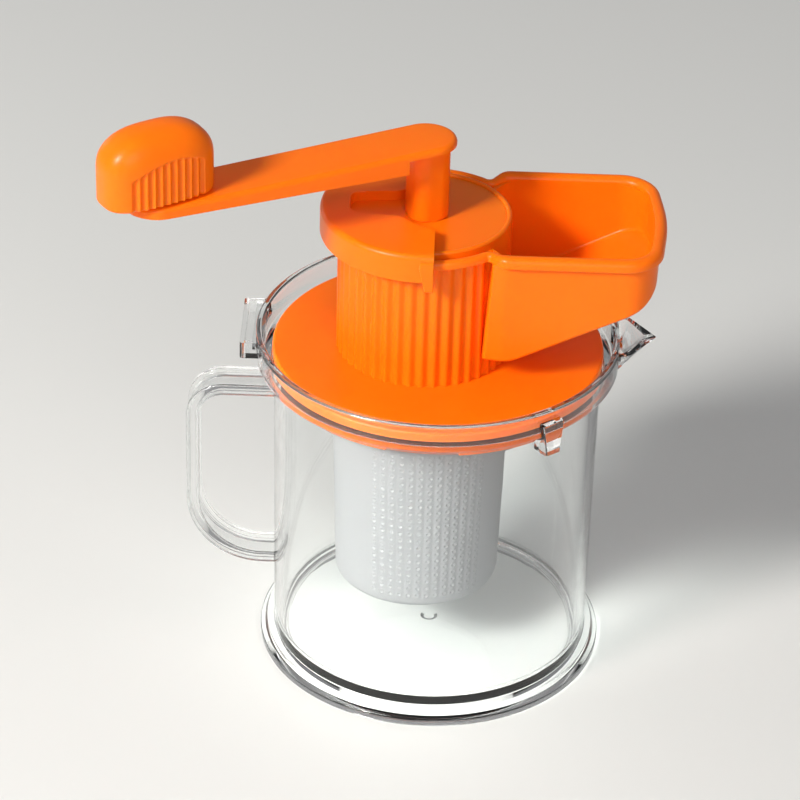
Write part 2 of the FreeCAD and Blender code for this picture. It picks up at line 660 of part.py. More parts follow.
def make_lid(doc, d):
    """The lid's disc with the ribbed chamber, the hopper, the spider and the spigot, in one moulding."""
    body = make_body(doc, "lid_body")
    base = d.seat_height + d.seat_clearance
    top = base + d.lid_thickness
    centre = -d.chamber_offset

    # hopper: an upright tube, its sloping floor trimmed to the tube, and the underside cut to the same slope
    tube_left = d.hopper_left - d.hopper_wall - 2
    tube_top = d.mouth_top - d.lip_height / 2
    rim = sketch_on(body, "XY", d.mouth_top - d.lip_height)
    hopper_outline(rim, d, d.hopper_rim_width)
    pad(body, rim, d.lip_height)
    fillet(body, d.lip_round, at_height(d.mouth_top, d.mouth_top - d.lip_height))
    outer = sketch_on(body, "XY", d.hopper_bottom)
    hopper_outline(outer, d, 0)
    pad(body, outer, tube_top - d.hopper_bottom)
    hollow = sketch_on(body, "XY", d.mouth_top)
    hopper_outline(hollow, d, -d.hopper_wall)
    pocket(body, hollow, d.mouth_top - d.hopper_bottom)
    rise = (d.hopper_right - d.hopper_knee) * d.hopper_slope
    floor = sketch_on(body, "XZ")
    end_inner = d.hopper_right - d.hopper_wall / 2
    end_rise = (end_inner - d.hopper_knee) * d.hopper_slope
    outline(
        floor,
        [
            (tube_left, d.hopper_bottom),
            (d.hopper_knee, d.hopper_bottom, 6),
            (end_inner, d.hopper_bottom + end_rise, d.hopper_floor_round - d.hopper_wall / 2),
            (end_inner, d.hopper_bottom + end_rise + d.hopper_floor_round * 0.7),
            (end_inner - d.hopper_wall / 2, d.hopper_bottom + end_rise + d.hopper_floor_round * 0.7),
            (end_inner - d.hopper_floor * 0.6, d.hopper_bottom + end_rise + d.hopper_floor, 9),
            (d.hopper_knee - 1, d.hopper_bottom + d.hopper_floor, 4),
            (tube_left, d.hopper_bottom + d.hopper_floor),
        ],
    )
    pad(body, floor, d.hopper_half_width * 2 - d.hopper_wall, symmetric=True)
    trim_top = d.mouth_top - d.lip_height - 1
    trim = sketch_on(body, "XY", trim_top)
    reach = d.hopper_half_width + 4
    rectangle(trim, tube_left - 1, -reach, d.hopper_right + 4, reach)
    hopper_outline(trim, d, 0)
    pocket(body, trim, trim_top - d.hopper_bottom + 1)
    under = sketch_on(body, "XZ")
    outline(
        under,
        [
            (tube_left, d.hopper_bottom - 1),
            (tube_left, d.hopper_bottom),
            (d.hopper_knee, d.hopper_bottom, 6),
            (d.hopper_right, d.hopper_bottom + rise, d.hopper_floor_round),
            (d.hopper_right, d.hopper_bottom + rise + d.hopper_floor_round * 0.7),
            (d.hopper_right + 4, d.hopper_bottom + rise + d.hopper_floor_round * 0.7),
            (d.hopper_right + 4, d.hopper_bottom - 1),
        ],
    )
    pocket(body, under, d.hopper_half_width * 2 + 2, symmetric=True)

    # disc and plug ring
    disc = sketch_on(body, "XZ")
    outline(
        disc,
        [
            (0, base),
            (d.plug_radius - d.plug_wall, base),
            (d.plug_radius - d.plug_wall, base - d.plug_depth),
            (d.plug_radius, base - d.plug_depth, 0.5),
            (d.plug_radius, base),
            (d.lid_radius, base),
            (d.lid_radius, top, d.lid_bevel),
            (0, top),
        ],
    )
    revolve(body, disc)

    # ribbed chamber with its lip
    drum = sketch_on(body, "XY", top - 1)
    circle(drum, d.chamber_radius, centre)
    pad(body, drum, d.mouth_top - d.lip_height / 2 - top + 1)
    rib = sketch_on(body, "XY", top - 0.5, centre)
    circle(rib, d.rib_radius, 0, d.chamber_radius + d.rib_stand - d.rib_radius)
    first = pad(body, rib, d.mouth_top - d.lip_height / 2 - top)
    polar(body, first, rib, d.rib_count, True)
    lip = sketch_on(body, "XZ", 0, centre)
    lip_low = d.mouth_top - d.lip_height
    outline(
        lip,
        [
            (d.chamber_bore, lip_low - 1.2),
            (d.chamber_radius, lip_low - 1.2),
            (d.lip_radius, lip_low, d.lip_round * 0.6),
            (d.lip_radius, d.mouth_top, d.lip_round * 0.7),
            (d.chamber_bore, d.mouth_top),
        ],
    )
    revolve(body, lip)

    # bore, cap seat, mouth and feed window
    for radius, high, low in (
        (d.cap_radius + d.moving_gap, d.mouth_top, d.mouth_top - d.cap_seat_depth),
        (d.chamber_bore, d.mouth_top, d.chamber_step),
        (d.chamber_mouth, d.chamber_step, base),
    ):
        bore = sketch_on(body, "XY", high)
        circle(bore, radius, centre)
        pocket(body, bore, high - low)
    window = sketch_on(body, "YZ", centre)
    window_low = d.hopper_bottom + d.hopper_floor + 0.4
    rectangle(window, -d.window_half_width, window_low, d.window_half_width, d.window_top, 2)
    pocket(body, window, d.chamber_radius + d.rib_stand + 0.3, forward=True)
    return finish_lid(body, d, base, centre)


def finish_lid(body, d, base, centre):
    """Adds what is under the lid, and the notches in its lip and its plug ring."""
    hub = sketch_on(body, "XY", base)
    circle(hub, d.hub_radius, centre)
    pad(body, hub, d.spoke_height)
    spoke = sketch_on(body, "XY", base, centre)
    rectangle(spoke, d.hub_radius - 2, -d.spoke_width / 2, d.chamber_mouth + 1, d.spoke_width / 2)
    first = pad(body, spoke, d.spoke_height - 0.4)
    polar(body, first, spoke, d.spoke_count, True)
    bearing = sketch_on(body, "XY", base + d.spoke_height)
    circle(bearing, d.drum_journal_radius + d.running_clearance, centre)
    pocket(body, bearing, d.spoke_height)
    spigot = d.filter_top_radius - d.filter_wall - d.moving_gap - 0.2
    ring = sketch_on(body, "XY", base - d.spigot_depth)
    circle(ring, spigot, centre)
    circle(ring, spigot - d.spigot_wall, centre)
    pad(body, ring, d.spigot_depth + 0.5)
    lug = sketch_on(body, "XY", base - d.spigot_depth + 0.4, centre)
    rectangle(lug, spigot - 0.6, -d.lug_width / 2, spigot + d.lug_stand, d.lug_width / 2)
    first = pad(body, lug, d.lug_height)
    polar(body, first, lug, d.spoke_count, True)

    # the plug ring is lower at the front, and open under the spout
    low = base - d.plug_depth
    front = sketch_on(body, "XY", low + d.plug_notch)
    rectangle(front, -13.6, -d.plug_radius - 1, 7.2, -d.plug_radius + 4.5)
    pocket(body, front, d.plug_notch + 1)
    pour = sketch_on(body, "XY", base)
    rectangle(pour, d.plug_radius - 4, -6, d.plug_radius + 1, 6)
    pocket(body, pour, d.plug_depth + 1)

    # notches in the lip let the cap's nibs pass when the cap is turned
    for side in (-1, 1):
        angle = 180 + side * d.nib_turn + d.cap_twist
        notch = sketch_on(body, "XY", d.mouth_top, centre)
        reach = d.chamber_radius + d.rib_stand
        across = d.nib_width / 2 + 1
        corners = [(reach, -across), (d.lip_radius + 1, -across), (d.lip_radius + 1, across), (reach, across)]
        outline(notch, [turned(along, side_step, angle) for along, side_step in corners])
        pocket(body, notch, d.lip_height + 1.3)
    return body


def hopper_outline(sketch, d, grow):
    """The hopper seen from above, grown or shrunk by the same amount all round."""
    left = d.hopper_left - grow
    right = d.hopper_right + grow
    half = d.hopper_half_width + grow
    far, near = d.hopper_end_round + grow, d.hopper_near_round + grow
    outline(sketch, [(left, -half, near), (right, -half, far), (right, half, far), (left, half, near)])


def make_cap(doc, d):
    """The chamber's cap: a dished disc, and over its handle side a raised plate with a skirt."""
    body = make_body(doc, "chamber_cap", -d.chamber_offset)
    seat = d.mouth_top - d.cap_seat_depth + d.moving_gap
    dish = seat + d.cap_disc
    ridge = dish + d.cap_ridge
    bore = d.journal_radius + d.running_clearance
    over_lip = d.mouth_top + d.moving_gap
    skirt_inner = d.lip_radius + d.moving_gap
    plate = sketch_on(body, "XZ")
    outline(
        plate,
        [
            (-bore, dish - 0.3),
            (-d.cap_radius, dish - 0.3),
            (-d.cap_radius, over_lip),
            (-skirt_inner, over_lip),
            (-skirt_inner, d.skirt_bottom),
            (-d.skirt_radius, d.skirt_bottom, 0.5),
            (-d.skirt_radius, d.plate_top, d.skirt_round),
            (-bore, d.plate_top),
        ],
    )
    revolve(body, plate, 220)
    end = sketch_on(body, "XY", d.plate_top + 1)
    reach = d.tab_reach + 1
    rectangle(end, d.plate_end, -reach, reach, reach)
    pocket(body, end, d.plate_top - d.skirt_bottom + 2)
    disc = sketch_on(body, "XZ")
    outline(
        disc,
        [
            (bore, seat - 1),
            (d.cap_hub_radius, seat - 1),
            (d.cap_hub_radius, seat),
            (d.cap_radius, seat),
            (d.cap_radius, ridge, 0.3),
            (d.cap_radius - 2.5, dish, 3),
            (bore, dish),
        ],
    )
    revolve(body, disc)
    keyhole = sketch_on(body, "XY", d.plate_top)
    wide, slim = d.recess_half_width, d.slot_half_width
    outline(
        keyhole,
        [
            (-d.slot_reach, -slim, 3),
            (-8, -slim, 5),
            (d.plate_end + 1, -wide),
            (d.plate_end + 1, wide),
            (-8, slim, 5),
            (-d.slot_reach, slim, 3),
        ],
    )
    pocket(body, keyhole, d.plate_top - dish)

    # a tab closes each end of the skirt, tapered to its lower end
    for side in (-1, 1):
        low = sketch_on(body, "XY", d.tab_bottom)
        tab_outline(low, d, side, d.tab_width * 0.5, 0.9)
        high = sketch_on(body, "XY", d.plate_top - d.skirt_round)
        tab_outline(high, d, side, d.tab_width, 0)
        loft(body, low, high)

    # two nibs inside the skirt hook under the chamber's lip
    for side in (-1, 1):
        angle = 180 + side * d.nib_turn
        inner = d.chamber_radius + d.rib_stand + d.moving_gap
        outer = d.skirt_radius - 1
        across = d.nib_width / 2
        nib = sketch_on(body, "XY", d.mouth_top - d.lip_height - 1.5 - d.nib_height)
        corners = [(inner, -across), (outer, -across), (outer, across), (inner, across)]
        outline(nib, [turned(along, side_step, angle) for along, side_step in corners])
        pad(body, nib, d.nib_height)
    return body


def tab_outline(sketch, d, side, width, draw_in):
    """A block flush with the raised half's end, width wide and drawn in from the tab's outer side."""
    inner = side * (d.lip_radius + d.moving_gap)
    outer = side * (d.tab_reach - draw_in)
    low, high = (inner, outer) if side > 0 else (outer, inner)
    rectangle(sketch, d.plate_end - width, low, d.plate_end, high)


def make_crank(doc, d):
    """The crank: a tapered channel arm, the shaft below it, and the square that drives the drum."""
    body = make_body(doc, "crank_arm", -d.chamber_offset, 0, d.crank_turn)
    dish = d.mouth_top - d.cap_seat_depth + d.moving_gap + d.cap_disc
    drum_top = d.mouth_top - d.cap_seat_depth - 1
    arm_low = d.arm_top - d.arm_depth
    length = d.crank_radius
    plan = sketch_on(body, "XY", arm_low)
    end = d.arm_radius
    outline(
        plan,
        [(-end, -end, end - 0.01), (length + end, -end, end - 0.01)]
        + [(length + end, end, end - 0.01), (-end, end, end - 0.01)],
    )
    pad(body, plan, d.arm_depth)
    fillet(body, d.arm_round, at_height(d.arm_top))
    wedge = sketch_on(body, "XZ")
    drop = d.arm_depth - d.arm_tip_depth
    outline(
        wedge,
        [
            (end, arm_low - 1),
            (end, arm_low),
            (length + end + 1, arm_low + drop),
            (length + end + 1, arm_low - 1),
        ],
    )
    pocket(body, wedge, end * 2 + 2, symmetric=True)
    channel = sketch_on(body, "XY", arm_low - 1)
    inset = end - d.arm_wall
    rectangle(channel, end + 1.5, -inset, length - d.washer_radius - 1.5, inset, 2)
    pocket(body, channel, d.arm_depth - d.arm_skin + 1, forward=True)
    head = sketch_on(body, "XY", arm_low - 1)
    circle(head, d.washer_radius + 0.6, length)
    pocket(body, head, d.arm_depth - d.arm_skin + 1, forward=True)
    hole = sketch_on(body, "XY", d.arm_top)
    circle(hole, d.screw_radius + d.running_clearance, length)
    pocket(body, hole, d.arm_skin + 0.1)

    # round the shaft only the arm's upper wall is left
    flat = d.shaft_side / 2
    cheek = sketch_on(body, "XY", arm_low - 1)
    rectangle(cheek, -end - 1, -end - 1, flat - 0.5, end + 1)
    pocket(body, cheek, d.arm_depth - d.arm_skin + 1, forward=True)
    shaft = sketch_on(body, "XY", dish + d.moving_gap)
    rectangle(shaft, -flat, -flat, flat, flat, d.shaft_round)
    pad(body, shaft, d.arm_top - d.arm_skin / 2 - dish - d.moving_gap)
    journal = sketch_on(body, "XY", drum_top)
    circle(journal, d.journal_radius)
    pad(body, journal, dish + d.moving_gap - drum_top)
    drive = sketch_on(body, "XY", drum_top - d.drive_length)
    side = d.drive_side / 2
    rectangle(drive, -side, -side, side, side)
    pad(body, drive, d.drive_length)
    tapped = sketch_on(body, "XY", drum_top - d.drive_length)
    circle(tapped, d.drum_screw_radius + d.close_fit)
    pocket(body, tapped, d.drum_screw_length + 1, forward=True)
    return body


def make_knob(doc, d):
    """The oblong knob with a crowned top and grip grooves on both long sides."""
    reach_x, reach_y = turned(d.crank_radius, as_size(0), d.crank_turn)
    turn = d.crank_turn + d.knob_turn
    body = make_body(doc, "crank_knob", reach_x - d.chamber_offset, reach_y, turn)
    low = d.arm_top + d.moving_gap
    half, width = d.knob_length / 2, d.knob_half_width
    plan = sketch_on(body, "XY", low)
    rectangle(plan, -half, -width, half, width, d.knob_corner)
    pad(body, plan, d.knob_height)
    crown = sketch_on(body, "XZ")
    shoulder = low + d.knob_shoulder
    peak = low + d.knob_height
    slope = (d.knob_height - d.knob_shoulder) * 2
    outline(
        crown,
        [
            (-half - 1, shoulder),
            (0, shoulder + slope, d.knob_crown),
            (half + 1, shoulder),
            (half + 1, peak + 9),
            (-half - 1, peak + 9),
        ],
    )
    pocket(body, crown, width * 2 + 2, symmetric=True)
    across = sketch_on(body, "YZ")
    flank = width + 1
    outline(
        across,
        [
            (-flank, peak - 2.4),
            (0, peak + 1, d.knob_bow),
            (flank, peak - 2.4),
            (flank, peak + 9),
            (-flank, peak + 9),
        ],
    )
    pocket(body, across, half * 2 + 2, symmetric=True)
    fillet(body, d.knob_edge, lambda edge: edge.BoundBox.ZMin > shoulder.value - 0.5)
    fillet(body, d.knob_foot, at_height(low))
    for side in (-1, 1):
        grip = sketch_on(body, "XZ", side * (width + 0.5))
        middle = (d.grip_count.value - 1) / 2
        for number in range(int(d.grip_count.value)):
            step = number - middle
            x = d.grip_pitch * step
            share = (step / middle) ** 2
            height = d.grip_arch - d.grip_drop * share
            groove = d.grip_width / 2
            rectangle(grip, x - groove, low - 1, x + groove, low + height)
        pocket(body, grip, d.grip_depth + 0.5, forward=side < 0)
    bore = sketch_on(body, "XY", low)
    circle(bore, d.screw_radius + d.close_fit)
    pocket(body, bore, d.screw_grip, forward=True)
    return body


def make_knob_screw(doc, d):
    """The headed screw that runs up through the arm's tip into the knob."""
    reach_x, reach_y = turned(d.crank_radius, as_size(0), d.crank_turn)
    body = make_body(doc, "knob_screw", reach_x - d.chamber_offset, reach_y)
    head_top = d.arm_top - d.arm_skin - d.moving_gap - d.washer_thickness
    head = sketch_on(body, "XZ")
    socket = d.screw_head_radius * 0.3
    outline(
        head,
        [
            (0, head_top - d.screw_head_height + 0.7),
            (socket, head_top - d.screw_head_height + 0.7),
            (socket * 1.6, head_top - d.screw_head_height),
            (d.screw_head_radius, head_top - d.screw_head_height * 0.5, 0.4),
            (d.screw_head_radius, head_top),
            (d.screw_radius, head_top),
            (d.screw_radius, d.arm_top + d.moving_gap + d.screw_grip - 1),
            (0, d.arm_top + d.moving_gap + d.screw_grip - 1),
        ],
    )
    revolve(body, head)
    return body


def make_washer(doc, d, label, x, y, inner, outer, low, thickness):
    """A flat washer."""
    body = make_body(doc, label, x, y)
    ring = sketch_on(body, "XY", low)
    circle(ring, outer)
    circle(ring, inner)
    pad(body, ring, thickness)
    return body


def make_drum(doc, d):
    """The grinding drum: a fluted cylinder with a cone above it and a journal below."""
    body = make_body(doc, "grinding_drum", -d.chamber_offset, 0, d.crank_turn)
    spider_top = d.seat_height + d.seat_clearance + d.spoke_height
    low = spider_top + d.moving_gap
    base = d.seat_height + d.seat_clearance + 0.5
    drum_top = d.mouth_top - d.cap_seat_depth - 1 - d.moving_gap
    profile = sketch_on(body, "XZ")
    outline(
        profile,
        [
            (0, base),
            (d.drum_journal_radius, base),
            (d.drum_journal_radius, low),
            (d.drum_radius - 1, low),
            (d.drum_radius, low + 1),
            (d.drum_radius, d.drum_shoulder, 4),
            (d.drum_neck_radius, drum_top - 5, 4),
            (d.drum_neck_radius, drum_top),
            (0, drum_top),
        ],
    )
    revolve(body, profile)
    side = d.drive_side / 2 + d.close_fit
    top = d.mouth_top - d.cap_seat_depth - 1
    socket = sketch_on(body, "XY", drum_top)
    rectangle(socket, -side, -side, side, side)
    pocket(body, socket, drum_top - top + d.drive_length + d.moving_gap)
    recess = sketch_on(body, "XY", base)
    circle(recess, d.drum_recess_radius)
    pocket(body, recess, d.washer_thickness + d.drum_screw_head_height + 0.6, forward=True)
    hole = sketch_on(body, "XY", base)
    circle(hole, d.drum_screw_radius + d.running_clearance)
    pocket(body, hole, d.drive_length + 8, forward=True)
    flute = sketch_on(body, "XY", d.drum_shoulder + 12)
    rectangle(
        flute,
        d.drum_radius - 3.4,
        d.blade_thickness,
        d.drum_radius + 2,
        d.blade_thickness + 7,
        2,
    )
    first = pocket(body, flute, d.drum_shoulder + 12 - low - 2)
    polar(body, first, flute, d.blade_count, False)
    slot = sketch_on(body, "XY", d.drum_shoulder)
    blade_slot = d.blade_thickness / 2 + d.close_fit
    rectangle(slot, d.drum_radius - d.blade_depth - d.close_fit, -blade_slot, d.drum_radius + 1, blade_slot)
    first = pocket(body, slot, d.drum_shoulder - low - 1)
    polar(body, first, slot, d.blade_count, False)
    return body


def make_blade(doc, d, number):
    """One serrated steel strip, set on edge in the drum."""
    angle = d.crank_turn + as_size(360 * number) / d.blade_count
    body = make_body(doc, "drum_blade_%d" % (number + 1), -d.chamber_offset, 0, angle)
    low = d.seat_height + d.seat_clearance + d.spoke_height + d.moving_gap + 1
    high = d.drum_shoulder
    inner = d.drum_radius - d.blade_depth
    outer = d.drum_radius + d.blade_stand
    strip = sketch_on(body, "XZ")
    count = int(d.tooth_count.value)
    pitch = (high - low) / d.tooth_count
    corners = [(inner, low)]
    for tooth in range(count):
        start = low + pitch * tooth
        corners.append((outer, start + pitch * 0.15))
        corners.append((outer, start + pitch * 0.6))
        corners.append((outer - d.tooth_depth, start + pitch * 0.85))
    corners.append((outer - d.tooth_depth, high))
    corners.append((inner, high))
    outline(strip, corners)
    pad(body, strip, d.blade_thickness, symmetric=True)
    return body


def make_liner(doc, d):
    """The steel liner of the chamber, open towards the hopper, with rows of punched notches."""
    body = make_body(doc, "chamber_liner", -d.chamber_offset)
    outer = d.chamber_bore - d.close_fit
    inner = outer - d.liner_thickness
    wall = sketch_on(body, "XZ")
    rectangle(wall, -outer, d.chamber_step, -inner, d.liner_top)
    revolve(body, wall, 360 - d.liner_half_gap * 2)
    for row in range(3):
        notch = sketch_on(body, "XZ")
        middle = d.chamber_step + (d.liner_top - d.chamber_step) * (row + 1) / 4
        rectangle(notch, -1.2, middle - 2.2, 1.2, middle + 2.2)
        pocket(body, notch, d.chamber_bore * 2 + 2, symmetric=True)
    return body


def make_drum_screw(doc, d):
    """The screw that holds the drum to the shaft, headed below the drum."""
    body = make_body(doc, "drum_screw", -d.chamber_offset)
    recess_top = d.seat_height + d.seat_clearance + 0.5 + d.washer_thickness + d.drum_screw_head_height + 0.6
    head_top = recess_top - d.washer_thickness
    tip = d.mouth_top - d.cap_seat_depth - 1 - d.drive_length + d.drum_screw_length
    profile = sketch_on(body, "XZ")
    outline(
        profile,
        [
            (0, head_top - d.drum_screw_head_height),
            (d.drum_screw_head_radius - 0.5, head_top - d.drum_screw_head_height),
            (d.drum_screw_head_radius, head_top - d.drum_screw_head_height + 0.6),
            (d.drum_screw_head_radius, head_top),
            (d.drum_screw_radius, head_top),
            (d.drum_screw_radius, tip),
            (0, tip),
        ],
    )
    revolve(body, profile)
    return body


def make_filter(doc, d):
    """The tapered filter basket, with three bayonet slots at its top."""
    body = make_body(doc, "filter_basket", -d.chamber_offset)
    top = d.seat_height + d.seat_clearance - d.moving_gap
    wall = d.filter_wall
    profile = sketch_on(body, "XZ")
    outline(
        profile,
        [
            (0, d.filter_bottom),
            (d.filter_bottom_radius, d.filter_bottom, d.filter_bevel),
            (d.filter_top_radius, top, 0.4),
            (d.filter_top_radius - wall, top, 0.4),
            (d.filter_bottom_radius - wall, d.filter_bottom + wall, 1),
            (0, d.filter_bottom + wall),
        ],
    )
    revolve(body, profile)
    lug_low = d.seat_height + d.seat_clearance - d.spigot_depth + 0.4
    gap = d.moving_gap
    half = d.lug_width / 2 + gap
    inner, outer = d.filter_bottom_radius - wall, d.filter_top_radius + 1
    leg = sketch_on(body, "XY", lug_low + d.lug_height + gap)
    swing = d.filter_twist
    far_x, far_y = turned(outer, -half, -swing)
    near_x, near_y = turned(inner, -half, -swing)
    outline(leg, [(inner, half), (near_x, near_y), (far_x, far_y), (outer + 1, -half), (outer, half)])
    first = pocket(body, leg, d.lug_height + gap * 2)
    polar(body, first, leg, d.spoke_count, False)
    entry = sketch_on(body, "XY", top)
    corners = [(inner, -half), (outer, -half), (outer, half), (inner, half)]
    outline(entry, [turned(along, across, -swing) for along, across in corners])
    first = pocket(body, entry, top - lug_low)
    polar(body, first, entry, d.spoke_count, False)
    return body


def make_all(doc, d):
    """Makes every piece."""
    reach_x, reach_y = turned(d.crank_radius, as_size(0), d.crank_turn)
    washer_low = d.arm_top - d.arm_skin - d.moving_gap - d.washer_thickness
    drum_washer_low = d.seat_height + d.seat_clearance + 0.5 + d.drum_screw_head_height + 0.6
    pieces = [
        make_cup(doc, d),
        make_lid(doc, d),
        make_cap(doc, d),
        make_crank(doc, d),
        make_knob(doc, d),
        make_knob_screw(doc, d),
        make_washer(
            doc, d, "knob_washer", reach_x - d.chamber_offset, reach_y,
            d.screw_radius + d.close_fit, d.washer_radius, washer_low, d.washer_thickness,
        ),
        make_drum(doc, d),
        make_liner(doc, d),
        make_drum_screw(doc, d),
        make_washer(
            doc, d, "drum_washer", -d.chamber_offset, 0,
            d.drum_screw_radius + d.close_fit, d.drum_washer_radius, drum_washer_low, d.washer_thickness,
        ),
        make_filter(doc, d),
    ]
    pieces += [make_blade(doc, d, number) for number in range(int(d.blade_count.value))]
    return pieces


def main():
    """Builds the document, checks it and writes one STEP file for each piece."""
    doc = FreeCAD.newDocument("hand_crank_grinder")
    pieces = make_all(doc, make_sheet(doc))
    doc.recompute()
    for thing in doc.Objects:
        if "Invalid" in thing.State or "Error" in thing.State:
            raise RuntimeError("%s is %s" % (thing.Label, thing.State))
    for piece in pieces:
        if piece.Shape.isNull() or not piece.Shape.isValid():
            raise RuntimeError("%s has no sound shape" % piece.Label)
    os.makedirs("parts", exist_ok=True)
    for piece in pieces:
        piece.Shape.exportStep("parts/%s.step" % piece.Label)
        print("%-16s %9.1f mm3, solids %d" % (piece.Label, piece.Shape.Volume, len(piece.Shape.Solids)))


main()
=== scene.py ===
"""Looks of a hand cranked mini grinder: a clear mug, an orange lid with its chamber and hopper, cap, crank,
knob and a frosted filter basket.

Each piece is a surface worked out on a grid of two parameters, in millimetres, and is put into its mesh in
metres. The origin is on the mug's axis in the plane it stands on, +Z is up and +X points from the handle
to the spout.
"""

import logging
from dataclasses import dataclass
from enum import Enum
from typing import Sequence

import bmesh
import bpy
import numpy as np
from mathutils import Matrix, Vector
from numpy.typing import NDArray


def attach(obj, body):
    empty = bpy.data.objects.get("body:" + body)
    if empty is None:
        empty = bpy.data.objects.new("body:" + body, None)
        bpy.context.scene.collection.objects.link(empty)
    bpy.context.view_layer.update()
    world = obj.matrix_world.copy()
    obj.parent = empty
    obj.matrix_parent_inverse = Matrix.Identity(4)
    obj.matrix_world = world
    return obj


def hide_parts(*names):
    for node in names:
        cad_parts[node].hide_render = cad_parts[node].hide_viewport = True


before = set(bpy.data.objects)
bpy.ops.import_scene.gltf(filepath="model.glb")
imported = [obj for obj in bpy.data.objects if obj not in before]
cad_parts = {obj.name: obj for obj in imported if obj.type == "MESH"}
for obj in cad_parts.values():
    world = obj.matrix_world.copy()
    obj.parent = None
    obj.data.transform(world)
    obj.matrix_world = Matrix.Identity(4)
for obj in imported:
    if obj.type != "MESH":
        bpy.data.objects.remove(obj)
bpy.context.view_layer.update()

Array = NDArray[np.float64]
Thing = bpy.types.Object
Material = bpy.types.Material
Socket = bpy.types.NodeSocket
LOG = logging.getLogger("grinder")
MM = 0.001
SQUARE = ((-1, -1), (1, -1), (1, 1), (-1, 1))  # corners, for half a side of 1


class Slot(Enum):
    """The record's material slots."""

    CLEAR = "clear_plastic"
    ORANGE = "orange_plastic"
    WHITE = "white_plastic"
    FROSTED = "frosted_plastic"
    STEEL = "steel"


class Merge(Enum):
    """How one solid is worked into another."""

    ADD = "UNION"
    CUT = "DIFFERENCE"


# ---- surfaces on grids ----


def rounded_path(corners: Sequence[Sequence[float]], closed: bool = True, steps: int = 6) -> Array:
    """A polyline whose corners are replaced by arcs that touch both sides.

    The arc's centre lies on the corner's bisector at radius / sin(half the corner's angle), and its ends lie
    radius / tan(half that angle) from the corner.

    Args:
        corners: (x, y) or (x, y, radius) of each corner.
        closed: Whether the last corner joins the first.
        steps: Number of pieces in each arc.

    Returns:
        The points of the path, n by 2.
    """
    full = np.array([(*c, 0.0)[:3] for c in corners], float)
    spot, radius = full[:, :2], full[:, 2]
    back = np.roll(spot, 1, 0) - spot
    ahead = np.roll(spot, -1, 0) - spot
    back /= np.linalg.norm(back, axis=1, keepdims=True)
    ahead /= np.linalg.norm(ahead, axis=1, keepdims=True)
    half = np.arccos(np.clip((back * ahead).sum(1), -1, 1)) / 2
    middle = back + ahead
    middle /= np.maximum(np.linalg.norm(middle, axis=1, keepdims=True), 1e-9)
    centre = spot + middle * (radius / np.maximum(np.sin(half), 1e-6))[:, None]
    enter = spot + back * (radius / np.maximum(np.tan(half), 1e-6))[:, None] - centre
    leave = spot + ahead * (radius / np.maximum(np.tan(half), 1e-6))[:, None] - centre
    start = np.arctan2(enter[:, 1], enter[:, 0])
    turn = np.arctan2(leave[:, 1], leave[:, 0]) - start
    turn = (turn + np.pi) % (2 * np.pi) - np.pi
    angle = start[:, None] + turn[:, None] * np.linspace(0, 1, steps + 1)[None]
    arcs = centre[:, None] + radius[:, None, None] * np.stack([np.cos(angle), np.sin(angle)], -1)
    if not closed:
        arcs[0], arcs[-1] = spot[0], spot[-1]
    arcs = np.where((radius > 0)[:, None, None], arcs, spot[:, None]).reshape(-1, 2)
    gap = np.linalg.norm(np.diff(arcs, axis=0, prepend=arcs[-1:] + (0 if closed else 9)), axis=1)
    return arcs[gap > 1e-6]


def spaced(path: Array, count: int, closed: bool = True) -> Array:
    """The path's points at equal steps of its length.

    Args:
        path: n by 2 or n by 3 points.
        count: How many points to give back.
        closed: Whether the path runs back to its start.

    Returns:
        count points.
    """
    line = np.vstack([path, path[:1]]) if closed else path
    length = np.concatenate([[0], np.cumsum(np.linalg.norm(np.diff(line, axis=0), axis=1))])
    at = np.linspace(0, length[-1], count, endpoint=not closed)
    return np.stack([np.interp(at, length, line[:, k]) for k in range(line.shape[1])], 1)


def directions(path: Array, closed: bool) -> Array:
    """Unit tangents of a path: the difference of each point's two neighbours, made one long.

    Args:
        path: Its points, n by 2 or n by 3.
        closed: Whether it runs back to its start.

    Returns:
        One unit vector for each point.
    """
    step = np.roll(path, -1, 0) - np.roll(path, 1, 0)
    if not closed:
        step[0], step[-1] = path[1] - path[0], path[-1] - path[-2]
    return step / np.linalg.norm(step, axis=1, keepdims=True)


def unit(angle: Array | float) -> Array:
    """The unit vector or vectors at an angle in radians."""
    return np.stack([np.cos(angle), np.sin(angle)], -1)


def quarter_turn(count: int) -> Array:
    """Angles from 0 to a right angle, in radians."""
    return np.linspace(0, np.pi / 2, count)


def rotated(points: Array, degrees: float) -> Array:
    """Points turned about the upright axis: (x cos a - y sin a, x sin a + y cos a), with the height kept.

    Args:
        points: Points whose last axis holds x, y and perhaps the height.
        degrees: The turn, counterclockwise seen from above.

    Returns:
        The turned points.
    """
    a = np.radians(degrees)
    x = points[..., 0] * np.cos(a) - points[..., 1] * np.sin(a)
    y = points[..., 0] * np.sin(a) + points[..., 1] * np.cos(a)
    return np.concatenate([np.stack([x, y], -1), points[..., 2:]], -1)


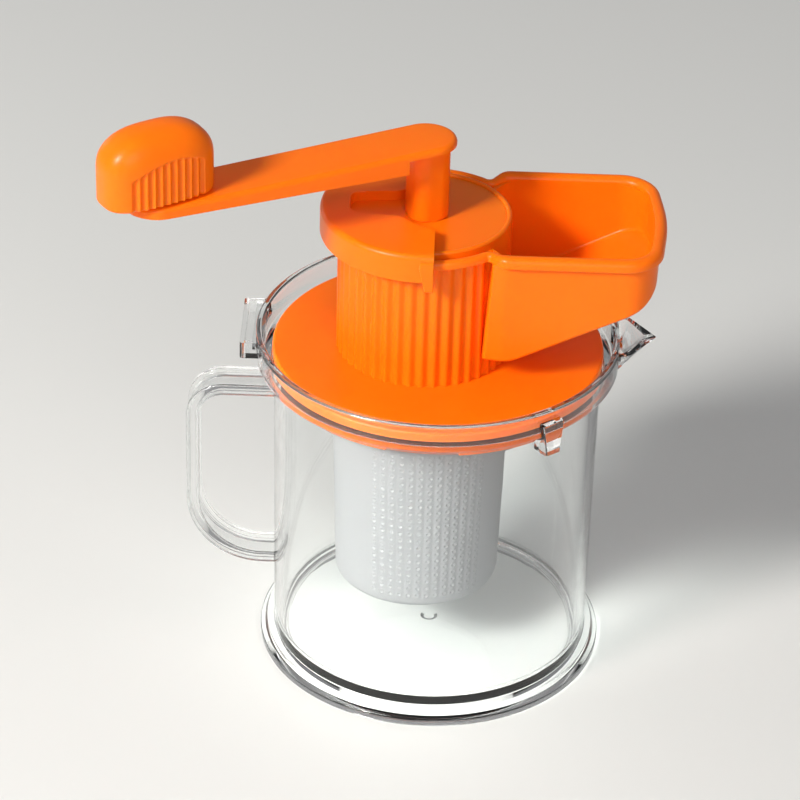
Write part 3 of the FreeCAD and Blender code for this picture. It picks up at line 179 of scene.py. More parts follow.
@dataclass
class Skin:
    """A surface on a grid.

    Attributes:
        points: Its points, in millimetres.
        faces: Quads as rows of four numbers into the points.
    """

    points: Array
    faces: NDArray[np.int64]

    @classmethod
    def grid(cls, net: Array, round_rows: bool = False, round_columns: bool = True) -> "Skin":
        """Makes quads between neighbours in a net of points.

        Args:
            net: The points, rows by columns by 3.
            round_rows: Whether the last row joins the first.
            round_columns: Whether the last column joins the first.

        Returns:
            The skin.
        """
        number = np.arange(net.shape[0] * net.shape[1]).reshape(net.shape[:2])
        if round_rows:
            number = np.vstack([number, number[:1]])
        if round_columns:
            number = np.hstack([number, number[:, :1]])
        quads = np.stack([number[:-1, :-1], number[:-1, 1:], number[1:, 1:], number[1:, :-1]], -1)
        return cls(net.reshape(-1, 3), quads.reshape(-1, 4))

    def solid(self, name: str) -> Thing:
        """Makes the mesh object: joins points that coincide, closes open ends and turns all faces out.

        Args:
            name: The object's name.

        Returns:
            The object, in metres.
        """
        mesh = self.mesh(name)
        work = bmesh.new()
        work.from_mesh(mesh)
        bmesh.ops.remove_doubles(work, verts=work.verts, dist=2e-6)
        bmesh.ops.dissolve_degenerate(work, edges=work.edges, dist=1e-6)
        rims = [edge for edge in work.edges if edge.is_boundary]
        if rims:
            bmesh.ops.holes_fill(work, edges=rims, sides=0)
        bmesh.ops.recalc_face_normals(work, faces=work.faces)
        work.to_mesh(mesh)
        work.free()
        return show(name, mesh)

    def mesh(self, name: str) -> bpy.types.Mesh:
        """The bare mesh, in metres.

        Args:
            name: The mesh's name.

        Returns:
            The mesh.
        """
        mesh = bpy.data.meshes.new(name)
        mesh.from_pydata((self.points * MM).tolist(), [], self.faces.tolist())
        return mesh


def show(name: str, data: bpy.types.ID) -> Thing:
    """Puts an object for a mesh, light or camera into the scene.

    Args:
        name: The object's name.
        data: The mesh, light or camera.

    Returns:
        The object.
    """
    thing = bpy.data.objects.new(name, data)
    bpy.context.scene.collection.objects.link(thing)
    return thing


def turned(profile: Array, count: int = 256, x: float = 0.0) -> Skin:
    """A profile of radius and height turned about an upright axis: (x + r cos a, r sin a, z).

    Args:
        profile: Closed loop of radius and height, n by 2.
        count: Steps round the axis.
        x: Where the axis stands.

    Returns:
        The skin.
    """
    angle = np.radians(np.linspace(0, 360, count, endpoint=False))
    r, z = profile[:, 0][:, None], profile[:, 1][:, None]
    net = np.stack([x + r * np.cos(angle), r * np.sin(angle), z + 0 * angle], -1)
    return Skin.grid(net, round_rows=True)


def drum(radius: float, low: float, high: float, count: int, x: float = 0.0, y: float = 0.0) -> Skin:
    """A round bar between two heights about an upright axis at (x, y).

    Args:
        radius: Its radius.
        low: Height of its lower end.
        high: Height of its upper end.
        count: Steps round it.
        x: Where its axis stands along X.
        y: Where its axis stands along Y.

    Returns:
        The skin.
    """
    skin = turned(np.array([(0, low), (radius, low), (radius, high), (0, high)], float), count, x)
    skin.points += (0, y, 0)
    return skin


def at_height(loop: Array, height: float) -> Array:
    """A loop in the plane raised to a height."""
    return np.column_stack([loop, np.full(len(loop), height)])


def stacked(loops: Sequence[Array]) -> Skin:
    """A skin over closed loops of the same number of points, one above another."""
    return Skin.grid(np.stack(loops))


def prism(loop: Array, low: float, high: float) -> Skin:
    """An upright prism on a closed loop in the plane."""
    return stacked([at_height(loop, z) for z in (low, high)])


def spoke(x: float, turn: float, reach: tuple[float, float], half: float, low: float, high: float) -> Skin:
    """An upright box that lies along a radius.

    Args:
        x: Where the axis stands.
        turn: Direction of the radius, in degrees.
        reach: Distances from the axis at which it begins and ends.
        half: Half its width.
        low: Height of its underside.
        high: Height of its top.

    Returns:
        The skin.
    """
    near, far = reach
    flat = np.array([(near, -half), (far, -half), (far, half), (near, half)])
    return prism(rotated(flat, turn) + (x, 0), low, high)


def sector(start: float, end: float, inner: float, outer: float, steps: int) -> Array:
    """The plan of a sector of a ring, from one angle to another, in degrees."""
    arc = unit(np.radians(np.linspace(start, end, steps)))
    return np.vstack([arc * outer, (arc * inner)[::-1]])


def block(low: Sequence[float], high: Sequence[float]) -> Skin:
    """An upright box between two corners."""
    (x0, y0, z0), (x1, y1, z1) = low, high
    return prism(np.array([(x0, y0), (x1, y0), (x1, y1), (x0, y1)], float), z0, z1)


def swept(path: Array, across: Array, up: Array, section: Array, closed: bool) -> Skin:
    """A section carried along a path: point + across * section x + up * section y.

    Args:
        path: Points of the path, n by 3.
        across: Unit vectors across the path, n by 3.
        up: Unit vectors up from the path, n by 3.
        section: Closed loop, m by 2.
        closed: Whether the path runs back to its start.

    Returns:
        The skin.
    """
    net = path[:, None] + across[:, None] * section[None, :, :1] + up[:, None] * section[None, :, 1:]
    return Skin.grid(net, round_rows=closed)


def merge(thing: Thing, tools: Sequence[Thing], way: Merge) -> Thing:
    """Works solids into another one and removes them.

    Args:
        thing: The solid that stays.
        tools: The solids to add or to cut with.
        way: Which of both.

    Returns:
        The solid that stays.
    """
    for tool in tools:
        step = thing.modifiers.new("merge", "BOOLEAN")
        step.operation, step.solver, step.object = way.value, "MANIFOLD", tool
        made = bpy.data.meshes.new_from_object(thing.evaluated_get(bpy.context.evaluated_depsgraph_get()))
        if len(made.polygons) < 4:
            raise RuntimeError(f"{thing.name} was lost when {tool.name} was merged")
        thing.modifiers.clear()
        thing.data = made
        bpy.data.objects.remove(tool)
    return thing


def polish(thing: Thing, angle: float = 32.0) -> Thing:
    """Shades a piece smooth up to an edge angle, with normals led by the larger faces.

    Args:
        thing: The piece.
        angle: Largest angle, in degrees, over which the surface is shaded as one.

    Returns:
        The piece.
    """
    mesh = thing.data
    mesh.shade_smooth()
    mesh.set_sharp_from_angle(angle=np.radians(angle))
    even = thing.modifiers.new("normals", "WEIGHTED_NORMAL")
    even.keep_sharp = True
    even.weight = 80
    return thing


def place(thing: Thing, body: str, slot: Slot, material: Material, *nodes: str) -> None:
    """Gives a piece its material and body, and hides the nodes it stands for.

    Args:
        thing: The piece.
        body: The body it rides on.
        slot: Its material slot; not used.
        material: Its finish.
        nodes: The nodes that it replaces.
    """
    thing.data.materials.clear()
    thing.data.materials.append(material)
    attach(thing, body)
    if nodes:
        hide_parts(*nodes)
    LOG.info("%s rides on %s: %d faces", thing.name, body, len(thing.data.polygons))


# ---- finishes ----


def linear(code: str) -> tuple[float, float, float, float]:
    """The linear colour of an sRGB hex value: ((c + 0.055) / 1.055) ^ 2.4, or c / 12.92 where it is dark.

    Args:
        code: The colour as #RRGGBB.

    Returns:
        Red, green, blue and alpha.
    """
    value = np.array([int(code[k : k + 2], 16) for k in (1, 3, 5)]) / 255
    value = np.where(value <= 0.04045, value / 12.92, ((value + 0.055) / 1.055) ** 2.4)
    return (*value.tolist(), 1.0)


def add_node(
    material: Material, kind: str, settings: dict | None = None, links: dict | None = None
) -> bpy.types.Node:
    """Adds a node to a material.

    Args:
        material: Where it goes.
        kind: The node's type.
        settings: Values of its properties or, by name, of its inputs.
        links: Sockets that feed its inputs, by name or number.

    Returns:
        The node.
    """
    node = material.node_tree.nodes.new(kind)
    for name, value in (settings or {}).items():
        if hasattr(node, name) and name not in node.inputs:
            setattr(node, name, value)
        else:
            node.inputs[name].default_value = value
    for name, source in (links or {}).items():
        material.node_tree.links.new(source, node.inputs[name])
    return node


def blank(name: str, **values: object) -> tuple[Material, bpy.types.Node, Socket]:
    """A material with only its shader.

    Args:
        name: The material's name.
        values: Inputs of the shader, named with underscores for spaces.

    Returns:
        The material, its shader, and the socket of the piece's own coordinates.
    """
    material = bpy.data.materials.new(name)
    material.use_nodes = True
    shader = material.node_tree.nodes["Principled BSDF"]
    for key, value in values.items():
        shader.inputs[key.replace("_", " ")].default_value = value
    return material, shader, add_node(material, "ShaderNodeTexCoord").outputs["Object"]


def feed(material: Material, shader: bpy.types.Node, **sources: Socket) -> Material:
    """Joins sockets to a material's shader.

    Args:
        material: The material.
        shader: Its shader.
        sources: The sockets, by the input that each feeds, with underscores for spaces.

    Returns:
        The material.
    """
    for key, source in sources.items():
        material.node_tree.links.new(source, shader.inputs[key.replace("_", " ")])
    return material


@dataclass(frozen=True)
class ClearStyrene:
    """Crystal styrene-acrylonitrile, injection moulded in a polished tool: water clear, hard and glossy, with
    faint waves where the melt flowed. The lamps' light passes it, so that what stands behind it is lit.

    Attributes:
        tint: Its colour.
        film: The colour that the lamps' light takes from it.
        wave: Width of a wave.
        roughness: Roughness of the skin.
    """

    tint: str = "#FCFDFD"
    film: str = "#F0F2F2"
    wave: float = 14.0
    roughness: float = 0.015

    def make(self) -> Material:
        """Builds the material.

        Returns:
            The material.
        """
        material, shader, here = blank(
            "clear_styrene_moulded", Base_Color=linear(self.tint), Roughness=self.roughness, IOR=1.56,
            Transmission_Weight=1.0,
        )
        settings = {"Scale": 1 / (self.wave * MM), "Detail": 1.0}
        noise = add_node(material, "ShaderNodeTexNoise", settings, {"Vector": here})
        settings = {"Strength": 0.06, "Distance": 0.6 * MM}
        bump = add_node(material, "ShaderNodeBump", settings, {"Height": noise.outputs["Fac"]})
        path = add_node(material, "ShaderNodeLightPath")
        film = add_node(material, "ShaderNodeBsdfTransparent", {"Color": linear(self.film)})
        links = {"Fac": path.outputs["Is Shadow Ray"], 1: shader.outputs["BSDF"], 2: film.outputs["BSDF"]}
        mix = add_node(material, "ShaderNodeMixShader", links=links)
        surface = material.node_tree.nodes["Material Output"].inputs["Surface"]
        material.node_tree.links.new(mix.outputs["Shader"], surface)
        return feed(material, shader, Normal=bump.outputs["Normal"])


@dataclass(frozen=True)
class OrangePolypropylene:
    """Orange polypropylene, injection moulded in a semi-polished tool: saturated, a little see-through in
    thin walls so that shaded hollows glow redder, with a waxy gloss and a fine tool texture.

    Attributes:
        body: Its colour.
        deep: Its colour where the clouds are thick.
        cloud: Width of a cloud or shallow sink.
        grain: Width of the tool's grain.
        roughness: Roughness of the skin.
    """

    body: str = "#FF760A"
    deep: str = "#FF7004"
    cloud: float = 16.0
    grain: float = 0.5
    roughness: float = 0.33

    def make(self) -> Material:
        """Builds the material.

        Returns:
            The material.
        """
        material, shader, here = blank(
            "orange_polypropylene_moulded", IOR=1.49, Subsurface_Weight=0.4,
            Subsurface_Radius=(1.0, 0.25, 0.05), Subsurface_Scale=4 * MM, Specular_IOR_Level=0.22,
        )
        settings = {"Scale": 1 / (self.cloud * MM), "Detail": 3.0}
        cloud = add_node(material, "ShaderNodeTexNoise", settings, {"Vector": here}).outputs["Fac"]
        tone = add_node(material, "ShaderNodeMix", {"data_type": "RGBA"}, {"Factor": cloud})
        tone.inputs[6].default_value = linear(self.body)
        tone.inputs[7].default_value = linear(self.deep)
        settings = {"To Min": self.roughness - 0.05, "To Max": self.roughness + 0.07}
        gloss = add_node(material, "ShaderNodeMapRange", settings, {"Value": cloud})
        settings = {"Scale": 1 / (self.grain * MM), "Detail": 2.0}
        grain = add_node(material, "ShaderNodeTexNoise", settings, {"Vector": here}).outputs["Fac"]
        settings = {"Strength": 0.12, "Distance": 0.06 * MM}
        fine = add_node(material, "ShaderNodeBump", settings, {"Height": grain})
        settings = {"Strength": 0.10, "Distance": 0.8 * MM}
        links = {"Height": cloud, "Normal": fine.outputs["Normal"]}
        wide = add_node(material, "ShaderNodeBump", settings, links).outputs["Normal"]
        return feed(material, shader, Base_Color=tone.outputs[2], Roughness=gloss.outputs["Result"], Normal=wide)


@dataclass(frozen=True)
class FrostedPolypropylene:
    """Unpigmented polypropylene: milky, lets light through but no image, with a satin skin.

    Attributes:
        tint: Its colour.
        cloud: Width of a cloud.
        roughness: Roughness of the skin.
    """

    tint: str = "#C8CACC"
    cloud: float = 9.0
    roughness: float = 0.42

    def make(self) -> Material:
        """Builds the material.

        Returns:
            The material.
        """
        material, shader, here = blank(
            "natural_polypropylene_moulded", Base_Color=linear(self.tint), IOR=1.49, Transmission_Weight=0.45,
            Subsurface_Weight=0.5, Subsurface_Radius=(1.0, 1.0, 1.0), Subsurface_Scale=3 * MM,
        )
        settings = {"Scale": 1 / (self.cloud * MM), "Detail": 2.0}
        cloud = add_node(material, "ShaderNodeTexNoise", settings, {"Vector": here}).outputs["Fac"]
        settings = {"To Min": self.roughness - 0.06, "To Max": self.roughness + 0.08}
        gloss = add_node(material, "ShaderNodeMapRange", settings, {"Value": cloud})
        settings = {"Strength": 0.08, "Distance": 0.4 * MM}
        bump = add_node(material, "ShaderNodeBump", settings, {"Height": cloud})
        return feed(material, shader, Roughness=gloss.outputs["Result"], Normal=bump.outputs["Normal"])


@dataclass(frozen=True)
class WhitePolypropylene:
    """White pigmented polypropylene, injection moulded: opaque, soft gloss, faint flow clouds.

    Attributes:
        light: Its colour.
        dark: Its colour in the clouds.
        cloud: Width of a cloud.
    """

    light: str = "#F1EFE9"
    dark: str = "#E7E4DC"
    cloud: float = 8.0

    def make(self) -> Material:
        """Builds the material.

        Returns:
            The material.
        """
        material, shader, here = blank(
            "white_polypropylene_moulded", IOR=1.49, Roughness=0.36, Subsurface_Weight=0.1,
            Subsurface_Scale=1 * MM,
        )
        settings = {"Scale": 1 / (self.cloud * MM), "Detail": 3.0}
        cloud = add_node(material, "ShaderNodeTexNoise", settings, {"Vector": here}).outputs["Fac"]
        tone = add_node(material, "ShaderNodeMix", {"data_type": "RGBA"}, {"Factor": cloud})
        tone.inputs[6].default_value = linear(self.light)
        tone.inputs[7].default_value = linear(self.dark)
        return feed(material, shader, Base_Color=tone.outputs[2])


@dataclass(frozen=True)
class StampedSteel:
    """Cold rolled stainless steel, stamped and barrel polished: grey metal with short rolling scratches.

    Attributes:
        tone: Its colour.
        scratch: Width of a scratch.
        squeeze: Scale of the scratches in height, which draws them out.
        roughness: Roughness of the skin.
    """

    tone: str = "#C8C9CB"
    scratch: float = 0.35
    squeeze: float = 0.12
    roughness: float = 0.27

    def make(self) -> Material:
        """Builds the material.

        Returns:
            The material.
        """
        material, shader, here = blank("stainless_steel_stamped", Base_Color=linear(self.tone), Metallic=1.0)
        settings = {"Scale": (1.0, 1.0, self.squeeze)}
        stretch = add_node(material, "ShaderNodeMapping", settings, {"Vector": here}).outputs["Vector"]
        settings = {"Scale": 1 / (self.scratch * MM), "Detail": 2.0}
        lines = add_node(material, "ShaderNodeTexNoise", settings, {"Vector": stretch}).outputs["Fac"]
        settings = {"To Min": self.roughness - 0.08, "To Max": self.roughness + 0.12}
        gloss = add_node(material, "ShaderNodeMapRange", settings, {"Value": lines})
        settings = {"Strength": 0.15, "Distance": 0.04 * MM}
        bump = add_node(material, "ShaderNodeBump", settings, {"Height": lines})
        return feed(material, shader, Roughness=gloss.outputs["Result"], Normal=bump.outputs["Normal"])


@dataclass(frozen=True)
class LacqueredBoard:
    """Matt pale lacquered board with a faint grain, for the studio's floor.

    Attributes:
        tone: Its colour.
        grain: Width of its grain.
        roughness: Roughness of the lacquer.
    """

    tone: str = "#E4E4E2"
    grain: float = 10 / 9
    roughness: float = 0.6

    def make(self) -> Material:
        """Builds the material.

        Returns:
            The material.
        """
        material, shader, here = blank(
            "pale_lacquered_board", Base_Color=linear(self.tone), Roughness=self.roughness
        )
        settings = {"Scale": 1 / (self.grain * MM), "Detail": 2.0}
        noise = add_node(material, "ShaderNodeTexNoise", settings, {"Vector": here})
        settings = {"Strength": 0.04, "Distance": 0.1 * MM}
        bump = add_node(material, "ShaderNodeBump", settings, {"Height": noise.outputs["Fac"]})
        return feed(material, shader, Normal=bump.outputs["Normal"])


# ---- the pieces ----


@dataclass
class Mug:
    """The clear mug: a turned wall with foot and collar, a strap handle, a latch pocket, spout and hook.

    Attributes:
        rim: Outer radius at the rim.
        rim_inner: Inner radius at the rim.
        top: Height of the rim.
        strap: Thickness of the handle's strap.
        strap_half: Half the strap's width.
        spout_tip: How far the spout reaches from the mug's axis.
        wall_thickness: Thickness of the spout's wall.
    """

    rim: float = 49.8
    rim_inner: float = 47.7
    top: float = 99.0
    strap: float = 3.5
    strap_half: float = 5.2
    spout_tip: float = 59.1
    wall_thickness: float = 1.5

    def wall(self) -> Thing:
        """The wall, floor, foot ring and collar as one turned profile, closed on the axis at both ends.

        Returns:
            The solid.
        """
        profile = rounded_path(
            [
                (0, 2.4), (1.44, 2.55), (2.4, 3.4, 0.4), (41.4, 3.4, 0.5), (42.4, 0.05, 0.5),
                (47.0, 0.0, 0.5), (47.9, 0.9, 0.6), (47.9, 2.6, 0.6), (46.6, 3.4, 0.3), (46.0, 4.5, 0.5),
                (44.05, 5.3, 0.4), (44.6, 87.6, 2.0), (48.6, 90.5, 0.4), (49.2, 91.2, 0.3),
                (self.rim, self.top, 0.8), (self.rim_inner, self.top, 0.8), (47.4, 92.0, 0.4),
                (42.2, 92.0, 0.6), (41.6, 6.1, 2.6), (0, 6.1),
            ]
        )
        return turned(profile, 288).solid("mug")

    def handle(self) -> Thing:
        """The strap: an I section with two rails, carried along the middle line of a round cornered C.

        Returns:
            The solid.
        """
        upper, lower, back = 80.45, 25.75, -66.65
        corners = [(-43.3, upper), (back, upper, 8.65), (back, lower, 19.25), (-43.1, lower)]
        path = rounded_path(corners, False, 20)
        path = np.column_stack([path[:, 0], np.zeros(len(path)), path[:, 1]])
        along = directions(path, False)
        out = np.cross(along, (0.0, -1.0, 0.0))
        side = np.tile((0.0, 1.0, 0.0), (len(path), 1))
        quarter = [(self.strap / 2, self.strap_half, 0.5), (self.strap / 2, 3.3, 0.35), (0.75, 3.0, 0.4)]
        right = quarter + [(x, -y, bend) for x, y, bend in quarter[::-1]]
        section = rounded_path(right + [(-x, y, bend) for x, y, bend in right[::-1]], steps=4)
        return swept(path, out, side, section, False).solid("strap")

    def spout_loop(self, start: float, reach: float, half_width: float, bend: float) -> Array:
        """A beak in plan: wide where it starts, drawn in at a shoulder and rounded at its tip.

        Args:
            start: Where it begins along X.
            reach: Where its tip is along X.
            half_width: Half its width at the start.
            bend: Radius at its shoulders.

        Returns:
            The closed loop.
        """
        shoulder = start + (reach - start) * 0.33
        corners = [
            (start, -half_width), (shoulder, -half_width * 0.92, bend), (reach, 0, 0.9),
            (shoulder, half_width * 0.92, bend), (start, half_width),
        ]
        return rounded_path(corners, steps=8)

    def spout(self, inset: float, start: float, low: float, high: float) -> Thing:
        """The beak's outside or its hollow: loops between a small one low down and a wide one at the rim,
        which grow with the 0.8th power of the height.

        Args:
            inset: How far the loops lie inside the spout's outside.
            start: Where they begin along X.
            low: Height of the lowest loop.
            high: Height of the highest loop.

        Returns:
            The solid.
        """
        count, levels = 96, 12
        small = spaced(self.spout_loop(start, 49.85 - inset * 0.7, 6.2 - inset, 0.8), count)
        wide = spaced(self.spout_loop(start, self.spout_tip - inset * 1.5, 11.3 - inset, 3.0), count)
        share = np.linspace(0, 1, levels)[:, None, None]
        plan = small[None] + (wide - small)[None] * share**0.8
        height = np.broadcast_to(low + (high - low) * share, (levels, count, 1))
        return Skin.grid(np.concatenate([plan, height], -1)).solid("spout")

    def hook(self) -> Thing:
        """The hook below the collar: a wedge that is wide at its top and narrow at its lower end.

        Returns:
            The solid.
        """
        turn = -52.5

        def loop(inner: float, outer: float, left: float, right: float, z: float) -> Array:
            """One level of the wedge, with its outer corners rounded."""
            corners = [(inner, left), (outer, left, 0.5), (outer, right, 0.5), (inner, right)]
            return at_height(rotated(rounded_path(corners, steps=3), turn), z)

        levels = [
            (44.2, 49.2, -1.0, 3.5, 84.8), (44.4, 50.0, -1.0, 3.5, 85.2), (48.9, 51.2, -3.5, 3.5, 95.6),
            (48.9, 50.8, -3.1, 3.1, 96.0),
        ]
        return stacked([loop(*level) for level in levels]).solid("hook")

    def pocket(self) -> tuple[Thing, list[Thing]]:
        """The latch pocket's box over the handle, and the two hollows that are cut into it.

        Returns:
            The box and the hollows.
        """
        corners = [(-53.4, -10.2, 0.8), (-47.0, -10.2), (-47.0, 13.8), (-53.4, 13.8, 0.8)]
        outer = rounded_path(corners, steps=4)
        inner = rounded_path([(-52.2, -9.0, 0.4), (-50.0, -9.0), (-50.0, 12.6), (-52.2, 12.6, 0.4)], steps=4)
        box = prism(outer, 94.0, 98.8).solid("pocket")
        hollow = prism(inner, 95.2, 102).solid("hollow")
        window = block((-51.0, -9.0, 95.2), (-45.0, 12.6, 96.4)).solid("window")
        return box, [hollow, window]

    def make(self, material: Material) -> None:
        """Builds the mug.

        Args:
            material: Its finish.
        """
        box, hollows = self.pocket()
        mug = self.wall()
        merge(mug, [self.handle(), box, self.spout(0.0, 47.9, 91.2, 98.9), self.hook()], Merge.ADD)
        inside = self.spout(self.wall_thickness, 49.0, 93.2, 99.6)
        window = block((45.0, -6.0, 93.2), (50.2, 6.0, 96.4)).solid("window")
        merge(mug, [*hollows, inside, window], Merge.CUT)
        place(polish(mug), "cup", Slot.CLEAR, material, "cup")


@dataclass
class Hopper:
    """The tub beside the chamber. Every section across it is a U: its half width follows the rounded plan,
    and its bottom follows a level, a slope and an arc up into the end wall.

    Attributes:
        half_width: Half the width between the long walls.
        start: Where the long walls begin.
        end: Where the two slanted halves of the end wall would meet.
        near: Corner radius at the start, in plan.
        far: Corner radius at the end, in plan.
        low: Height of the level part of the bottom.
        knee: Where the slope begins.
        scoop: Radius between the slope and the end wall.
        edge: Radius along the lower edges.
        slope: Rise of the bottom per millimetre.
        slant: How far the end wall leans back per millimetre to its side.
        bow: Radius where its two halves meet.
        lead: Length over which the long walls are drawn in at the start, by how much, and the bend after it.
        lean: How far the start leans in over the tub's height.
    """

    half_width: float
    start: float
    end: float
    near: float
    far: float
    low: float = 0.0
    knee: float = 0.0
    scoop: float = 0.0
    edge: float = 0.0
    slope: float = 0.5
    slant: float = 0.1116
    bow: float = 68.0
    lead: tuple[float, float, float] = (1.0, 0.0, 0.0)
    lean: float = 0.0

    def plan(self, steps: int = 24) -> Array:
        """The closed plan, from the near front corner round the bowed end to the near back corner.

        Args:
            steps: Pieces in each arc.

        Returns:
            The closed loop.
        """
        corner, half = self.end - self.half_width * self.slant, self.half_width
        left = [(self.start, half - self.lead[1], self.near), (self.start + self.lead[0], half, self.lead[2])]
        right = [(corner, -half, self.far), (self.end, 0, self.bow), (corner, half, self.far)]
        return rounded_path([*[(x, -y, r) for x, y, r in left], *right, *left[::-1]], steps=steps)

    def width_at(self, x: Array) -> Array:
        """Half width at x: the circle's at the near corners, full between, and the bowed end's beyond.

        Args:
            x: Places along the hopper.

        Returns:
            Half the width at each.
        """
        line = self.plan(40)
        half = line[line[:, 1] > 1e-6]
        half = np.vstack([(line[:, 0].max(), 0.0), half])[::-1]
        return np.interp(x, half[:, 0], half[:, 1])

    def bottom_at(self, x: Array) -> Array:
        """Height of the bottom at x: level, then rising by the slope, then the scoop's arc.

        Args:
            x: Places along the hopper.

        Returns:
            The bottom's height at each.
        """
        ramp = self.low + self.slope * np.logaddexp(0, (x - self.knee) * 1.2) / 1.2
        middle = self.end - 0.4 - self.scoop
        level = self.low + (middle - self.knee) * self.slope + self.scoop * np.hypot(1, self.slope)
        touch = middle + self.scoop * np.sin(np.arctan(self.slope))
        arc = level - np.sqrt(np.maximum(self.scoop**2 - np.clip(x - middle, 0, self.scoop) ** 2, 0))
        return np.where(x > touch, arc, ramp)

    def sheet(self, top: float, stations: int = 120) -> Array:
        """The U's points at stations along x, rows by columns by 3, closing on the middle line at the
        bowed end. The walls spread upwards by a 500th of their width per millimetre.

        Args:
            top: Height of the U's open ends.
            stations: Number of rows.

        Returns:
            The points: up one wall, its lower edge, the bottom, and back up the other wall.
        """
        last = self.plan(40)[:, 0].max()
        x = self.start + (last - self.start) * (1 - np.cos(np.linspace(0, np.pi, stations))) / 2
        width, bottom = np.maximum(self.width_at(x), 0.001), self.bottom_at(x)
        bend = np.minimum(self.edge, width * 0.9)
        width, bottom, bend = width[:, None], bottom[:, None], bend[:, None]
        rise, turn, flat = np.linspace(1, 0, 9)[:-1], quarter_turn(7), np.linspace(0, 1, 12)[1:-1]
        wall_z = bottom + bend + (top - bottom - bend) * rise
        y = np.hstack([-width + 0 * rise, -width + bend * (1 - np.cos(turn))])
        z = np.hstack([wall_z, bottom + bend * (1 - np.sin(turn))])
        floor_y = y[:, -1:] * (1 - 2 * flat)
        y = np.hstack([y, floor_y, -y[:, ::-1]])
        z = np.hstack([z, z[:, -1:] + 0 * flat, z[:, ::-1]])
        base, height, reach, spread = 102.0, 31, 6, 0.002
        above = z - base
        x = x[:, None] + self.lean * above / height * np.clip(1 - (x - self.start) / reach, 0, 1)[:, None]
        return np.stack([x, y * (1 + spread * above), z], -1)


